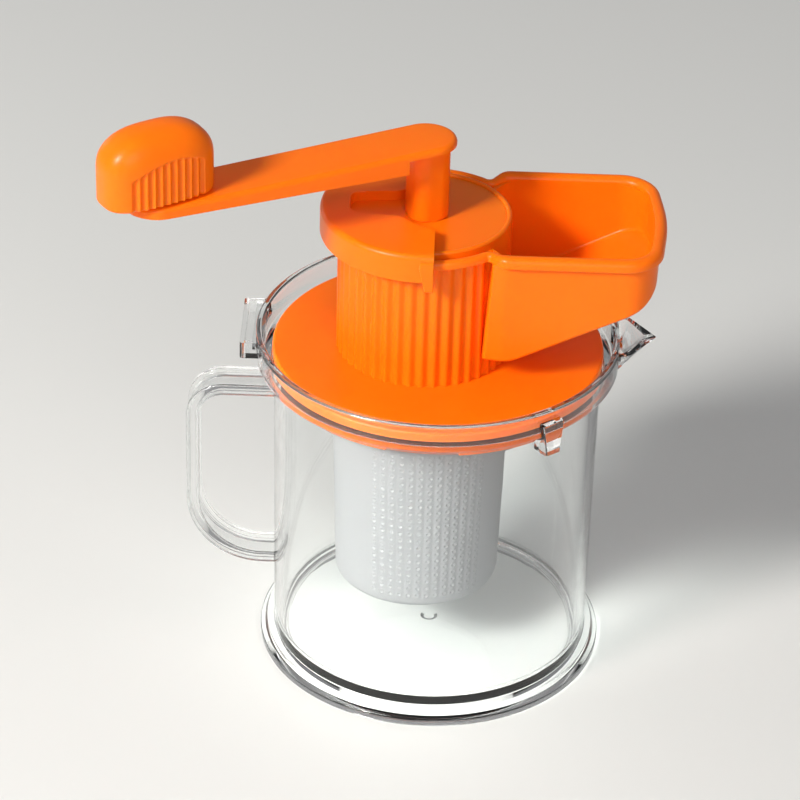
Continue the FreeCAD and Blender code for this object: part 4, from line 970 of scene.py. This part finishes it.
@dataclass
class Lid:
    """The orange lid moulding: disc, plug ring, ribbed chamber with lip, hopper, spider and spigot.

    Attributes:
        axis: Where the chamber's axis stands.
        base: Underside of the disc.
        disc: Radius of the disc.
        thickness: Thickness of the disc.
        core: Radius of the chamber between its ribs.
        ribs: Number of ribs round the chamber.
        rib: Height of a rib.
        mouth: Top of the chamber and of the hopper.
        bore: Inner radius of the chamber.
        ring: Outer radius of the plain ring on the chamber.
        lip: Outer radius of the lip round it.
    """

    axis: float = -4.2
    base: float = 92.1
    disc: float = 45.0
    thickness: float = 2.7
    core: float = 22.9
    ribs: int = 44
    rib: float = 0.75
    mouth: float = 135.6
    bore: float = 21.3
    ring: float = 22.8
    lip: float = 26.7

    def disc_and_plug(self) -> list[Thing]:
        """The disc, and the ring under it, which is shorter at the front and open at the spout.

        Returns:
            The disc and the ring.
        """
        top = self.base + self.thickness
        flat = rounded_path(
            [(15.0, self.base), (self.disc, self.base, 0.3), (self.disc, top, 0.75), (15.0, top)], steps=5
        )
        plate = turned(flat, 288)
        angle = np.linspace(0, 360, 720, endpoint=False)
        front = (angle > 252) & (angle < 279)
        pour = (angle < 8.5) | (angle > 351.5)
        low = np.where(pour, self.base - 0.4, np.where(front, self.base - 4.4, self.base - 6.0))
        ring = rounded_path([(39.9, 1.0), (39.9, 0.0, 0.3), (41.5, 0.0, 0.4), (41.5, 1.0)], steps=3)
        turn = np.radians(angle)
        r = ring[:, 0][:, None]
        z = low[None] + ring[:, 1][:, None] * (self.base + 0.5 - low[None])
        net = np.stack([r * np.cos(turn), r * np.sin(turn), z], -1)
        return [plate.solid("lid"), Skin.grid(net, round_rows=True).solid("plug")]

    def chamber(self) -> list[Thing]:
        """The chamber's outside, radius = core + rib * (1 + cos(ribs * a)) / 2, and the plain ring on it
        with its rounded top.

        Returns:
            The ribbed wall and the plain ring.
        """
        angle = np.linspace(0, 2 * np.pi, self.ribs * 14, endpoint=False)
        radius = self.core - 0.1 + self.rib * (1 + np.cos(self.ribs * angle)) / 2
        plan = radius[:, None] * unit(angle) + (self.axis, 0)
        low, inner = 130.0, 19.0
        corners = [(inner, low), (self.ring, low), (self.ring, self.mouth, 0.8), (inner, self.mouth)]
        ring = turned(rounded_path(corners, steps=8), 256, self.axis)
        return [prism(plan, 94.2, 133.0).solid("chamber"), ring.solid("ring")]

    def rim_line(self) -> Array:
        """The outer edge of the lip and of the hopper's rim as one closed line: round the chamber, then
        out from a notch on each side to the hopper's straight walls and its bowed end.

        Returns:
            The line's points, at equal steps.
        """
        circle = self.lip * unit(np.radians(np.linspace(52, 308, 170))) + (self.axis, 0)
        half = 25.0
        far = Hopper(half, 18.0, 60.2, 0, 10.8, bow=70.0).plan()[2:-2]
        corners = [tuple(circle[-1]), (12.6, -20.9, 0.8), (16.0, -half, 5.0), tuple(far[0])]
        front = rounded_path(corners, False, 10)
        return spaced(np.vstack([circle, front[1:-1], far, (front * (1, -1))[-2:0:-1]]), 560)

    def rim(self) -> Thing:
        """The bead on that line: a full round on the hopper, narrower and a little lower round the
        chamber, where a web joins it to the chamber's wall.

        Returns:
            The solid.
        """
        line = self.rim_line()
        along = directions(line, True)
        inward = np.column_stack([-along[:, 1], along[:, 0]])
        near = np.clip((16.5 - line[:, 0]) / 4.5, 0, 1)
        near = near * near * (3 - 2 * near)
        top, low, bead = self.mouth, 132.2, 3.8
        section = [(1.0, low), (0.0, 132.7, 0.4), (0.0, top, 1.8), (bead, top, 1.8), (bead, 133.4, 0.1)]
        depth, height = rounded_path(section + [(5.4, 133.4), (5.4, low)], steps=9).T[:, :, None]
        web = np.maximum(depth - bead, 0) * (0.15 + 0.85 * near)
        depth = np.minimum(depth, bead) * (1 - near * 0.3) + web
        height = low + (height - low) * (1 - near * 0.25)
        net = np.stack([line[:, 0] + inward[:, 0] * depth, line[:, 1] + inward[:, 1] * depth, height], -1)
        return Skin.grid(net, round_rows=True).solid("rim")

    def hopper(self) -> tuple[list[Thing], Thing]:
        """The tub and its rim, and the hollow to cut, which leaves the chamber's wall plain.

        Returns:
            The tub and its rim, and the hollow.
        """
        tub = Hopper(21.8, 11.7, 58.69, 1.2, 8.5, 102.2, 19.3, 12.0, 1.3, lead=(5.0, 0.9, 12.0), lean=1.9)
        hollow = Hopper(20.0, 13.6, 56.88, 0.3, 8.8, 104.6, 18.6, 4.0, 1.0, lead=(4.0, 5.1, 4.0))
        core = Skin.grid(hollow.sheet(140.0)).solid("core")
        merge(core, [drum(self.ring, 90, 145, 256, self.axis).solid("keep")], Merge.CUT)
        return [Skin.grid(tub.sheet(133.6)).solid("tub"), self.rim()], core

    def underside(self) -> list[Thing]:
        """The ring with three lugs that carries the filter, and the ribs over the spider's spokes.

        Returns:
            The ring, the ribs and the lugs.
        """
        ring = rounded_path([(21.1, 87.1, 0.3), (22.7, 87.1, 0.3), (22.7, 92.6), (21.1, 92.6)], steps=3)
        things = [turned(ring, 160, self.axis).solid("spigot")]
        for turn in (0, 120, 240):
            things.append(spoke(self.axis, turn, (6.4, 21.2), 1.5, 92.1, 94.6).solid("rib"))
            things.append(spoke(self.axis, turn, (22.1, 23.6), 2.5, 87.5, 89.0).solid("lug"))
        return things

    def cuts(self) -> list[Thing]:
        """The bore with its rounded top, the mouth below it, the feed window and the two nib notches.

        Returns:
            The solids to cut with.
        """
        bend, round_off, high = quarter_turn(8), 0.7, 140.0
        edge_r = self.bore + round_off * (1 - np.cos(bend))
        edge = np.column_stack([edge_r, self.mouth - round_off * (1 - np.sin(bend))])
        bore = np.vstack([(0, 96.4), (self.bore, 96.4), edge, (self.bore + round_off, high), (0, high)])
        things = [turned(bore, 224, self.axis).solid("bore")]
        things.append(drum(20.2, 94.9, 97.0, 224, self.axis).solid("mouth"))
        half, low, top = 13.5, 105.0, 121.0
        window = rounded_path([(-half, low, 2), (half, low, 2), (half, top, 2), (-half, top, 2)], steps=5)
        ends = [np.column_stack([np.full(len(window), x), window]) for x in (self.axis, 19.2)]
        things.append(stacked(ends).solid("window"))
        notches = [spoke(self.axis, turn, (25.4, 28), 4, 132.0, 138) for turn in (152, 252)]
        return things + [notch.solid("notch") for notch in notches]

    def mouth_cuts(self) -> list[Thing]:
        """The three openings between the spokes, as sectors, and the bearing's hole.

        Returns:
            The solids to cut with.
        """
        things = [drum(6.08, 90, 97, 96, self.axis).solid("bearing")]
        for start in (0, 120, 240):
            shift = unit(np.radians(start + 60)) * (1.5 / np.sin(np.radians(60)))
            plan = sector(start, start + 120, 7.2, 18.6, 25) + shift + (self.axis, 0)
            things.append(prism(plan, 90, 96.0).solid("sector"))
        return things

    def make(self, material: Material) -> None:
        """Builds the lid.

        Args:
            material: Its finish.
        """
        plate, plug = self.disc_and_plug()
        hopper, core = self.hopper()
        middle = drum(16.0, self.base, self.base + self.thickness, 96).solid("middle")
        merge(plate, [middle], Merge.ADD)
        merge(plate, self.mouth_cuts(), Merge.CUT)
        merge(plate, [plug, *self.chamber(), *hopper], Merge.ADD)
        merge(plate, [core, *self.cuts()], Merge.CUT)
        merge(plate, self.underside(), Merge.ADD)
        place(polish(plate), "lid", Slot.ORANGE, material, "lid_body")


@dataclass
class Cap:
    """The chamber's cap: a dished disc, and over half of it a raised plate with a skirt, a slot and two
    end tabs. Lengths in plan are from the chamber's axis.

    Attributes:
        axis: Where the chamber's axis stands.
        seat: Underside of the disc.
        dish: Level of the dish.
        top: Top of the plate.
        low: Lower edge of the skirt.
        skirt: Outer radius of the skirt.
        end: Plane in which the plate, skirt and tabs end.
    """

    axis: float = -4.2
    seat: float = 133.3
    dish: float = 134.9
    top: float = 137.7
    low: float = 129.6
    skirt: float = 28.4
    end: float = 2.4

    def disc(self) -> Thing:
        """The dish and the boss under it.

        Returns:
            The solid.
        """
        hole, boss, edge, low = 5.38, 9.0, 21.27, 132.3
        upper = [(edge, self.seat, 0.3), (edge, self.dish), (hole, self.dish)]
        profile = rounded_path([(hole, low), (boss, low, 0.3), (boss, self.seat), *upper], steps=5)
        return turned(profile, 224, self.axis).solid("cap")

    def arc(self, radius: float, count: int) -> Array:
        """An arc about the axis, round the left from one end plane to the other."""
        first = np.arccos(self.end / radius)
        return radius * unit(np.linspace(first, 2 * np.pi - first, count))

    def plate(self) -> Thing:
        """The raised half: its section runs from the slot's edge over the top and down the skirt, and is
        carried round from one end of the half ring to the other.

        Returns:
            The solid.
        """
        count = 240
        upper = [(self.end, 14.3), (-3.4, 10.2, 5), (-6.8, 6.7, 6), (-20.3, 5.3, 3)]
        lower = [(x, -y, *bend) for x, y, *bend in upper[::-1]]
        slot = spaced(rounded_path(upper + lower, False, 12), count, False)
        out = self.arc(self.skirt, count)
        z, low = self.top, self.low
        inner = [(0.0, 134.0), (0.0, z - 0.5), (0.006, z - 0.15), (0.022, z)]
        levels = [(slot + (out - slot) * share, height) for share, height in [*inner, (0.3, z), (0.6, z)]]
        edge = 1.6
        for a in quarter_turn(9):
            levels.append((self.arc(self.skirt - edge * (1 - np.sin(a)), count), z - edge * (1 - np.cos(a))))
        hem = [(0.0, low + 0.4), (-0.12, low + 0.12), (-0.4, low), (-1.2, low)]
        hem += [(-1.4, low + 0.2), (-1.4, 135.9), (-7.0, 135.9), (-7.2, 134.0)]
        levels += [(self.arc(self.skirt + shift, count), height) for shift, height in hem]
        net = np.stack([at_height(plan + (self.axis, 0), height) for plan, height in levels])
        return Skin.grid(net, round_rows=True, round_columns=False).solid("plate")

    def tabs(self) -> list[Thing]:
        """The tab at each end of the skirt, tapered to its lower end, and the two nibs inside the skirt.

        Returns:
            The tabs and the nibs.
        """
        things = []
        widths = [(2.0, 28.1, 126.8), (2.3, 28.4, 127.1), (3.8, 29.2, 134.0)]
        widths += [(3.6, 28.8, 135.6), (3.2, 28.0, 136.2)]
        inner = 27.1
        for side in (1, -1):
            loops = []
            for width, reach, height in widths:
                left = self.end - width
                corners = [(self.end, inner), (self.end, reach, 0.2), (left, reach, 0.4), (left, inner)]
                loops.append(at_height(rounded_path(corners, steps=4) * (1, side) + (self.axis, 0), height))
            things.append(stacked(loops).solid("tab"))
        nibs = [spoke(self.axis, turn, (25.5, 27.5), 3, 130.0, 131.4) for turn in (130, 230)]
        things += [nib.solid("nib") for nib in nibs]
        return things

    def make(self, material: Material) -> None:
        """Builds the cap.

        Args:
            material: Its finish.
        """
        cap = self.disc()
        merge(cap, [self.plate(), *self.tabs()], Merge.ADD)
        place(polish(cap), "cap", Slot.ORANGE, material, "chamber_cap")


@dataclass
class Crank:
    """The crank's arm and shaft, turned to their place at rest.

    Attributes:
        axis: Where the shaft's axis stands.
        turn: Direction of the arm, in degrees.
        length: From the shaft's axis to the knob's.
        radius: Radius of the arm's ends.
        top: Top of the arm at its tip.
        root: Where the arm's end round the shaft has its centre.
        edge: Rounding of the arm's upper edge.
    """

    axis: float = -4.2
    turn: float = 207.0
    length: float = 77.4
    radius: float = 8.2
    top: float = 157.3
    root: float = 0.8
    edge: float = 1.4

    def to_place(self, points: Array) -> Array:
        """Turns points from the arm's own frame, +x to the knob, about the shaft's axis."""
        return rotated(points, self.turn) + (self.axis, 0, 0)

    def pin(self, radius: float, low: float, high: float, count: int) -> Thing:
        """A round bar on the knob's axis."""
        x, y, _ = self.to_place(np.array([self.length, 0.0, 0.0]))
        return drum(radius, low, high, count, x, y).solid("pin")

    def stadium(self, start: float, end: float, radius: float, quarter: int = 40) -> Array:
        """Two half circles about (start, 0) and (end, 0) and the straight sides, quarter points each.

        Args:
            start: Middle of the left end.
            end: Middle of the right end.
            radius: Radius of both ends.
            quarter: Points in each of the four parts.

        Returns:
            The closed loop.
        """
        arc = radius * unit(np.linspace(-np.pi / 2, np.pi / 2, quarter))
        right, left = arc + (end, 0), (start, 0) - arc
        share = np.linspace(0, 1, quarter + 2)[1:-1, None]
        back, ahead = left[0] - right[-1], right[0] - left[-1]
        return np.vstack([right, right[-1] + back * share, left, left[-1] + ahead * share])

    def arm(self) -> Thing:
        """The arm: loops of a stadium from the channel below, round the rims and over the rounded top edge
        to a faint ridge line. The lower rim rises from the shaft to the tip.

        Returns:
            The solid.
        """

        def level(height: float | Array, radius: float, start: float = self.root, end: float = 0.0) -> Array:
            """A loop at a height, over which the arm rises by a millimetre towards the shaft."""
            loop = self.stadium(start, self.length - end, radius)
            return np.column_stack([loop, height + np.clip(1 - loop[:, 0] / self.length, 0, 1)])

        def rim(loop: Array) -> Array:
            """Height of the lower rim along a loop."""
            return self.top - 6.0 + 2.9 * np.clip((loop[:, 0] - 8) / (self.length - 2), 0, 1)

        outer = rim(self.stadium(self.root, self.length, self.radius))
        well = rim(self.stadium(14.0, self.length - 10.0, 5.9))
        loops = [
            level(self.top - 2.0, 0.001, 15.0, 11.0), level(self.top - 2.0, 5.4, 14.6, 10.6),
            level(self.top - 2.3, 5.8, 14.2, 10.2), level(well + 0.3, 5.9, 14.0, 10.0),
            level(well, 6.1, 13.8, 9.8), level(outer, self.radius - 0.4),
            level(outer + 0.12, self.radius - 0.1), level(outer + 0.4, self.radius),
        ]
        for a in quarter_turn(8):
            drop = self.edge * (1 - np.sin(a)) + 0.1
            loops.append(level(self.top - drop, self.radius - self.edge * (1 - np.cos(a))))
        for sink, radius in ((0.02, self.radius * 0.6), (0.0, self.radius * 0.3), (0.0, 0.001)):
            loops.append(level(self.top - sink, radius))
        return Skin.grid(self.to_place(np.stack(loops))).solid("crank")

    def shaft(self) -> list[Thing]:
        """The rounded square shaft with a small flare under the arm, the journal and the driving square.

        Returns:
            The post, the journal and the driving square.
        """
        levels = [(10.1, 3.4, 135.2), (10.5, 3.6, 135.5), (10.5, 3.6, 155.0)]
        levels += [(10.9, 3.8, 155.8), (12.0, 4.4, 156.4)]
        loops = []
        for side, bend, height in [*levels, (12.0, 4.4, 157.2)]:
            half = side / 2
            flat = rounded_path([(x * half, y * half, bend) for x, y in SQUARE], steps=8)
            loops.append(at_height(spaced(flat, 96), height))
        post = Skin.grid(self.to_place(np.stack(loops))).solid("post")
        square = np.array(SQUARE, float) * 3.5
        drive = Skin.grid(self.to_place(np.stack([at_height(square, z) for z in (116.0, 132.4)])))
        return [post, drum(5.3, 132.0, 135.4, 96, self.axis).solid("journal"), drive.solid("drive")]

    def bores(self) -> list[Thing]:
        """The screw's hole under the arm's tip, the well for its head, and the hole in the shaft's end."""
        tapped = drum(1.65, 115.0, 125.0, 48, self.axis).solid("tapped")
        return [self.pin(5.4, 150.0, 155.3, 72), self.pin(2.38, 150.0, 160.0, 72), tapped]

    def make(self, material: Material) -> None:
        """Builds the crank: round the shaft the arm has only its upper wall.

        Args:
            material: Its finish.
        """
        arm = self.arm()
        cheek = block((-12, -12, 145), (9.5, 12, self.top - 1.0))
        cheek.points = self.to_place(cheek.points)
        merge(arm, [cheek.solid("cheek")], Merge.CUT)
        merge(arm, self.shaft(), Merge.ADD)
        merge(arm, self.bores(), Merge.CUT)
        place(polish(arm), "crank", Slot.ORANGE, material, "crank_arm")


@dataclass
class Knob:
    """The oblong knob: a rounded rectangle in plan under a dome, with grip grooves on both long sides.

    Attributes:
        crank: The crank that carries it.
        half: Half its length and half its width.
        power: Power of the plan's superellipse.
        turn: Its turn from the arm, in degrees.
        low: Height of its underside.
        shoulder: Where the dome begins, over the underside.
        crown: Top of the dome, over the underside.
        bulge: Power of the dome's superellipse.
    """

    crank: Crank
    half: tuple[float, float] = (15.45, 8.3)
    power: float = 2.9
    turn: float = 6.0
    low: float = 157.6
    shoulder: float = 9.6
    crown: float = 19.9
    bulge: float = 2.35

    def grooves(self, x: Array, z: Array) -> Array:
        """Depth of the grip at a place on the side: ten rounded grooves under an arch that falls off to both
        ends.

        Args:
            x: Places along the knob.
            z: Heights over its underside.

        Returns:
            The depth at each.
        """
        arch, peak, pitch, reach = 12.9, -2.5, 2.1, 10.5
        fall = np.where(x > peak, 0.023, 0.035)
        under = np.clip((arch - fall * (x - peak) ** 2 - z) / 0.6, 0, 1) * (np.abs(x) < reach)
        return under * (0.15 + 0.55 * (0.5 - 0.5 * np.cos(2 * np.pi * x / pitch)) ** 0.7)

    def make(self, material: Material) -> None:
        """Builds the knob. The plan is |x / a|^n + |y / b|^n = 1. It is drawn in at the foot, runs up the
        side, and over it the height is shoulder + rise * sin(t)^(2 / e) where the plan is scaled by
        cos(t)^(2 / e).

        Args:
            material: Its finish.
        """
        count = 480
        t = np.linspace(0, 2 * np.pi, 4 * count, endpoint=False)
        round_to = 2 / self.power
        plan = np.stack([np.sign(f(t)) * np.abs(f(t)) ** round_to for f in (np.cos, np.sin)], 1) * self.half
        plan = spaced(plan, count)
        along = directions(plan, True)
        out = np.column_stack([along[:, 1], -along[:, 0]])
        foot = quarter_turn(6)[:-1]
        side = np.linspace(1.0, self.shoulder, 28)
        dome = quarter_turn(76)[1:]
        power, rise = 2 / self.bulge, self.crown - self.shoulder
        z = np.concatenate([1 - np.cos(foot), side, self.shoulder + rise * np.sin(dome) ** power])
        scale = np.concatenate([np.ones(len(foot) + len(side)), np.maximum(np.cos(dome), 1e-9) ** power])
        inset = np.concatenate([1 - np.sin(foot), np.zeros(len(side) + len(dome))])
        x = plan[:, 0] * scale[:, None]
        cut = inset[:, None] + self.grooves(x, z[:, None]) * (np.abs(out[:, 1]) > 0.7)
        cut[-1] = 0
        spot = plan * scale[:, None, None] - out * cut[..., None]
        low = [plan * 0.0001, plan * 0.7, plan - out * 2.0]
        spot = np.concatenate([np.stack(low), spot])
        z = np.concatenate([[0, 0, 0], z])
        net = np.concatenate([spot, np.broadcast_to(z[:, None, None], (*spot.shape[:2], 1))], -1)
        net = self.crank.to_place(rotated(net, self.turn) + (self.crank.length, 0, self.low))
        knob = Skin.grid(net).solid("knob")
        merge(knob, [self.crank.pin(2.35, 150.0, self.low + 10.0, 64)], Merge.CUT)
        place(polish(knob, 40), "knob", Slot.ORANGE, material, "crank_knob")


@dataclass
class Filter:
    """The frosted basket: a tapered cup with two screens of dimpled dots and three bayonet slots at its top.

    Attributes:
        axis: Where the basket's axis stands.
        bottom: Underside of the floor.
        top: Height of the rim.
        bottom_radius: Outer radius at the bottom.
        top_radius: Outer radius at the rim.
        wall: Thickness of the wall and floor.
        edge: Rounding round the floor.
        face: Direction of the first screen, in degrees.
        pitch: Angle between two columns of dots, in degrees.
        columns: Columns in a screen.
        first_row: Height of the lowest dots.
        step: Distance between two rows of dots.
        rows: Rows in a screen.
    """

    axis: float = -4.2
    bottom: float = 23.2
    top: float = 91.8
    bottom_radius: float = 22.7
    top_radius: float = 24.6
    wall: float = 1.4
    edge: float = 2.2
    face: float = -82.0
    pitch: float = 6.15
    columns: int = 13
    first_row: float = 27.5
    step: float = 2.3
    rows: int = 22

    def turns(self) -> Array:
        """The angles of the net's columns, in radians: eight to each column of dots, and wide steps
        between the two screens.

        Returns:
            The angles.
        """
        half = self.pitch * self.columns / 2
        dense = np.arange(self.columns * 8) / 8 * self.pitch - half
        loose = np.linspace(half, 180 - half, 26, endpoint=False)
        one = np.concatenate([dense, loose])
        return np.radians(self.face + np.concatenate([one, one + 180]))

    def skin(self, inset: float, floor: float, dots: bool) -> Array:
        """One side of the wall and its floor. The radius follows the taper. In a screen each dot is a
        small raised ring round a dimple, whose depth falls off with the square of the distance from the
        dot's middle.

        Args:
            inset: How far this side lies inside the outer one.
            floor: Height of the floor's side.
            dots: Whether the screens are on this side.

        Returns:
            Rows by columns by 3, from the middle of the floor up to the rim.
        """
        angle = self.turns()
        first = self.first_row - self.step / 2
        last = self.first_row + (self.rows - 0.5) * self.step
        z = np.linspace(first, last, self.rows * 8 + 1) if dots else np.array([40.0, 60.0])
        z = np.concatenate([z, np.linspace(last + 2, self.top, 6)])
        z = np.concatenate([[floor + self.edge], z[z > floor + self.edge + 0.1]])
        slope = (self.top_radius - self.bottom_radius) / (self.top - self.bottom)
        radius = np.repeat((self.bottom_radius + (z - self.bottom) * slope - inset)[:, None], len(angle), 1)
        if dots:
            mean_radius, ring, dimple = 23.6, 1.0, 0.55
            raised, sunk, rail = 0.30, 0.62, 0.10
            across = (np.degrees(angle) - self.face + 90) % 180 - 90
            column = np.clip(np.round(across / self.pitch), -(self.columns // 2), self.columns // 2)
            row = np.clip(np.round((z - self.first_row) / self.step), 0, self.rows - 1)
            du = np.radians(across - column * self.pitch) * mean_radius
            dv = z - self.first_row - row * self.step
            far = np.hypot(du[None], dv[:, None])
            radius += raised * np.clip(1 - (far / ring) ** 2, 0, 1)
            radius -= sunk * np.clip(1 - (far / dimple) ** 2, 0, 1)
            run = (z > first) & (z < last)
            radius += rail * np.clip(1 - (du / ring) ** 2, 0, 1)[None] * run[:, None]
        bend = quarter_turn(9)[:-1]
        middle = radius[0] - self.edge
        foot_r = np.concatenate([[0.002, 0.6], np.ones(8)])[:, None] * middle
        foot_r[2:] += self.edge * np.sin(bend)[:, None]
        foot_z = np.concatenate([[floor, floor], floor + self.edge * (1 - np.cos(bend))])
        radius = np.vstack([foot_r, radius])
        height = np.repeat(np.concatenate([foot_z, z])[:, None], len(angle), 1)
        return np.stack([self.axis + radius * np.cos(angle), radius * np.sin(angle), height], -1)

    def make(self, material: Material) -> None:
        """Builds the basket: the outside and, from the rim back to the floor, the inside.

        Args:
            material: Its finish.
        """
        outside = self.skin(0.0, self.bottom, True)
        inside = self.skin(self.wall, self.bottom + self.wall, False)[::-1]
        basket = Skin.grid(np.concatenate([outside, inside])).solid("filter")
        tools = []
        for start in (0, 120, 240):
            for end, high in ((start + 7, 89.3), (start - 11, 95.0)):
                plan = sector(start - 26, end, 21.0, 26.5, 12) + (self.axis, 0)
                tools.append(prism(plan, 87.2, high).solid("slot"))
        merge(basket, tools, Merge.CUT)
        place(polish(basket, 60), "filter", Slot.FROSTED, material, "filter_basket")


@dataclass
class Works:
    """The parts inside, and the screws and washers, which keep their own shape and take a finish."""

    white: tuple[str, ...] = ("grinding_drum",)
    steel: tuple[str, ...] = (
        "drum_blade_1", "drum_blade_2", "drum_blade_3", "drum_blade_4", "chamber_liner",
        "drum_screw", "drum_washer", "knob_screw", "knob_washer",
    )

    def dress(self, white: Material, steel: Material) -> None:
        """Gives each part its material.

        Args:
            white: Finish of the drum.
            steel: Finish of the other parts.
        """
        for names, material in ((self.white, white), (self.steel, steel)):
            for name in names:
                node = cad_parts[name]
                node.data.materials.clear()
                node.data.materials.append(material)
                LOG.info("%s is finished as %s", name, material.name)


# ---- the studio ----


@dataclass(frozen=True)
class Lamp:
    """A soft box: where it stands, its size, its power in watts and its colour."""

    name: str
    spot: tuple[float, float, float]
    size: float
    power: float
    tint: str = "#FFFFFF"

    def hang(self, target: Vector) -> None:
        """Puts the lamp up, aimed at the target.

        Args:
            target: The point at which it is aimed.
        """
        light = bpy.data.lights.new(self.name, "AREA")
        light.shape, light.size, light.energy = "DISK", self.size, self.power
        light.color = linear(self.tint)[:3]
        thing = show(self.name, light)
        thing.location = self.spot
        thing.rotation_euler = (target - Vector(self.spot)).to_track_quat("-Z", "Y").to_euler()


@dataclass
class Studio:
    """A plain pale floor under soft light, and the camera.

    Attributes:
        elevation: Angle above the horizon, in degrees.
        roll: Roll of the picture, in degrees.
        focal: Focal length in pixels of an 800 pixel frame.
        centre: Pixel at which the target appears.
        distance: Distance from the target, in millimetres.
    """

    elevation: float = 32.84
    roll: float = 1.95
    focal: float = 3600.0
    centre: tuple[float, float] = (434.49, 450.14)
    distance: float = 996.79

    def camera(self) -> None:
        """Sets up the camera: it looks along +Y from above, then is turned so that the target, 60 mm up
        the axis, falls on its pixel."""
        e, r = np.radians(self.elevation), np.radians(self.roll)
        ahead = np.array([0, np.cos(e), -np.sin(e)])
        right = np.array([1.0, 0, 0])
        up = np.cross(right, ahead)
        spot = np.array([0, 0, 60.0]) - ahead * self.distance
        aim = np.array([self.centre[0] - 400, 400 - self.centre[1], self.focal])
        aim /= np.linalg.norm(aim)
        axis = np.cross(aim, (0, 0, 1))
        skew = np.array([[0, -axis[2], axis[1]], [axis[2], 0, -axis[0]], [-axis[1], axis[0], 0]])
        swing = np.eye(3) + skew + skew @ skew * ((1 - aim[2]) / (axis @ axis))
        spin = np.array([[np.cos(r), np.sin(r), 0], [-np.sin(r), np.cos(r), 0], [0, 0, 1]])
        rows = swing.T @ spin @ np.stack([right, up, ahead])
        lens = bpy.data.cameras.new("camera")
        lens.sensor_width = 36.0
        lens.lens = self.focal / 800 * 36.0
        lens.clip_start, lens.clip_end = 0.05, 50.0
        thing = show("camera", lens)
        lines = [(*rows[:, k] * (1, 1, -1), spot[k] * MM) for k in range(3)]
        thing.matrix_world = Matrix(lines + [(0, 0, 0, 1)])
        bpy.context.scene.camera = thing

    def floor(self) -> None:
        """A wide floor of matt pale lacquered board."""
        side = np.linspace(-4000, 4000, 9)
        net = np.stack([*np.meshgrid(side, side, indexing="ij"), np.full((9, 9), -0.05)], -1)
        skin = Skin.grid(net, round_columns=False)
        thing = show("floor", skin.mesh("floor"))
        thing.data.materials.append(LacqueredBoard().make())

    def sky(self) -> None:
        """A pale world that lights softly."""
        world = bpy.data.worlds.new("studio")
        bpy.context.scene.world = world
        world.use_nodes = True
        back = world.node_tree.nodes["Background"]
        back.inputs["Color"].default_value = linear("#F2F3F5")
        back.inputs["Strength"].default_value = 0.28

    def build(self) -> None:
        """Puts up the whole studio."""
        self.camera()
        self.floor()
        self.sky()
        target = Vector((0, 0, 0.09))
        for lamp in (
            Lamp("key", (-0.81, -0.75, 0.86), 0.32, 21.0, "#FFFDF8"),
            Lamp("fill", (0.25, -1.22, 0.8), 0.9, 5.0, "#FFFFFF"),
            Lamp("edge", (-0.9, 0.9, 0.35), 0.5, 1.0, "#FFFFFF"),
        ):
            lamp.hang(target)
        bpy.context.scene.view_settings.view_transform = "Standard"


def main() -> None:
    """Builds the studio and every piece."""
    logging.basicConfig(level=logging.INFO, format="%(name)s: %(message)s")
    Studio().build()
    orange = OrangePolypropylene().make()
    Mug().make(ClearStyrene().make())
    Lid().make(orange)
    Cap().make(orange)
    crank = Crank()
    crank.make(orange)
    Knob(crank).make(orange)
    Filter().make(FrostedPolypropylene().make())
    Works().dress(WhitePolypropylene().make(), StampedSteel().make())


if __name__ == "__main__":
    main()
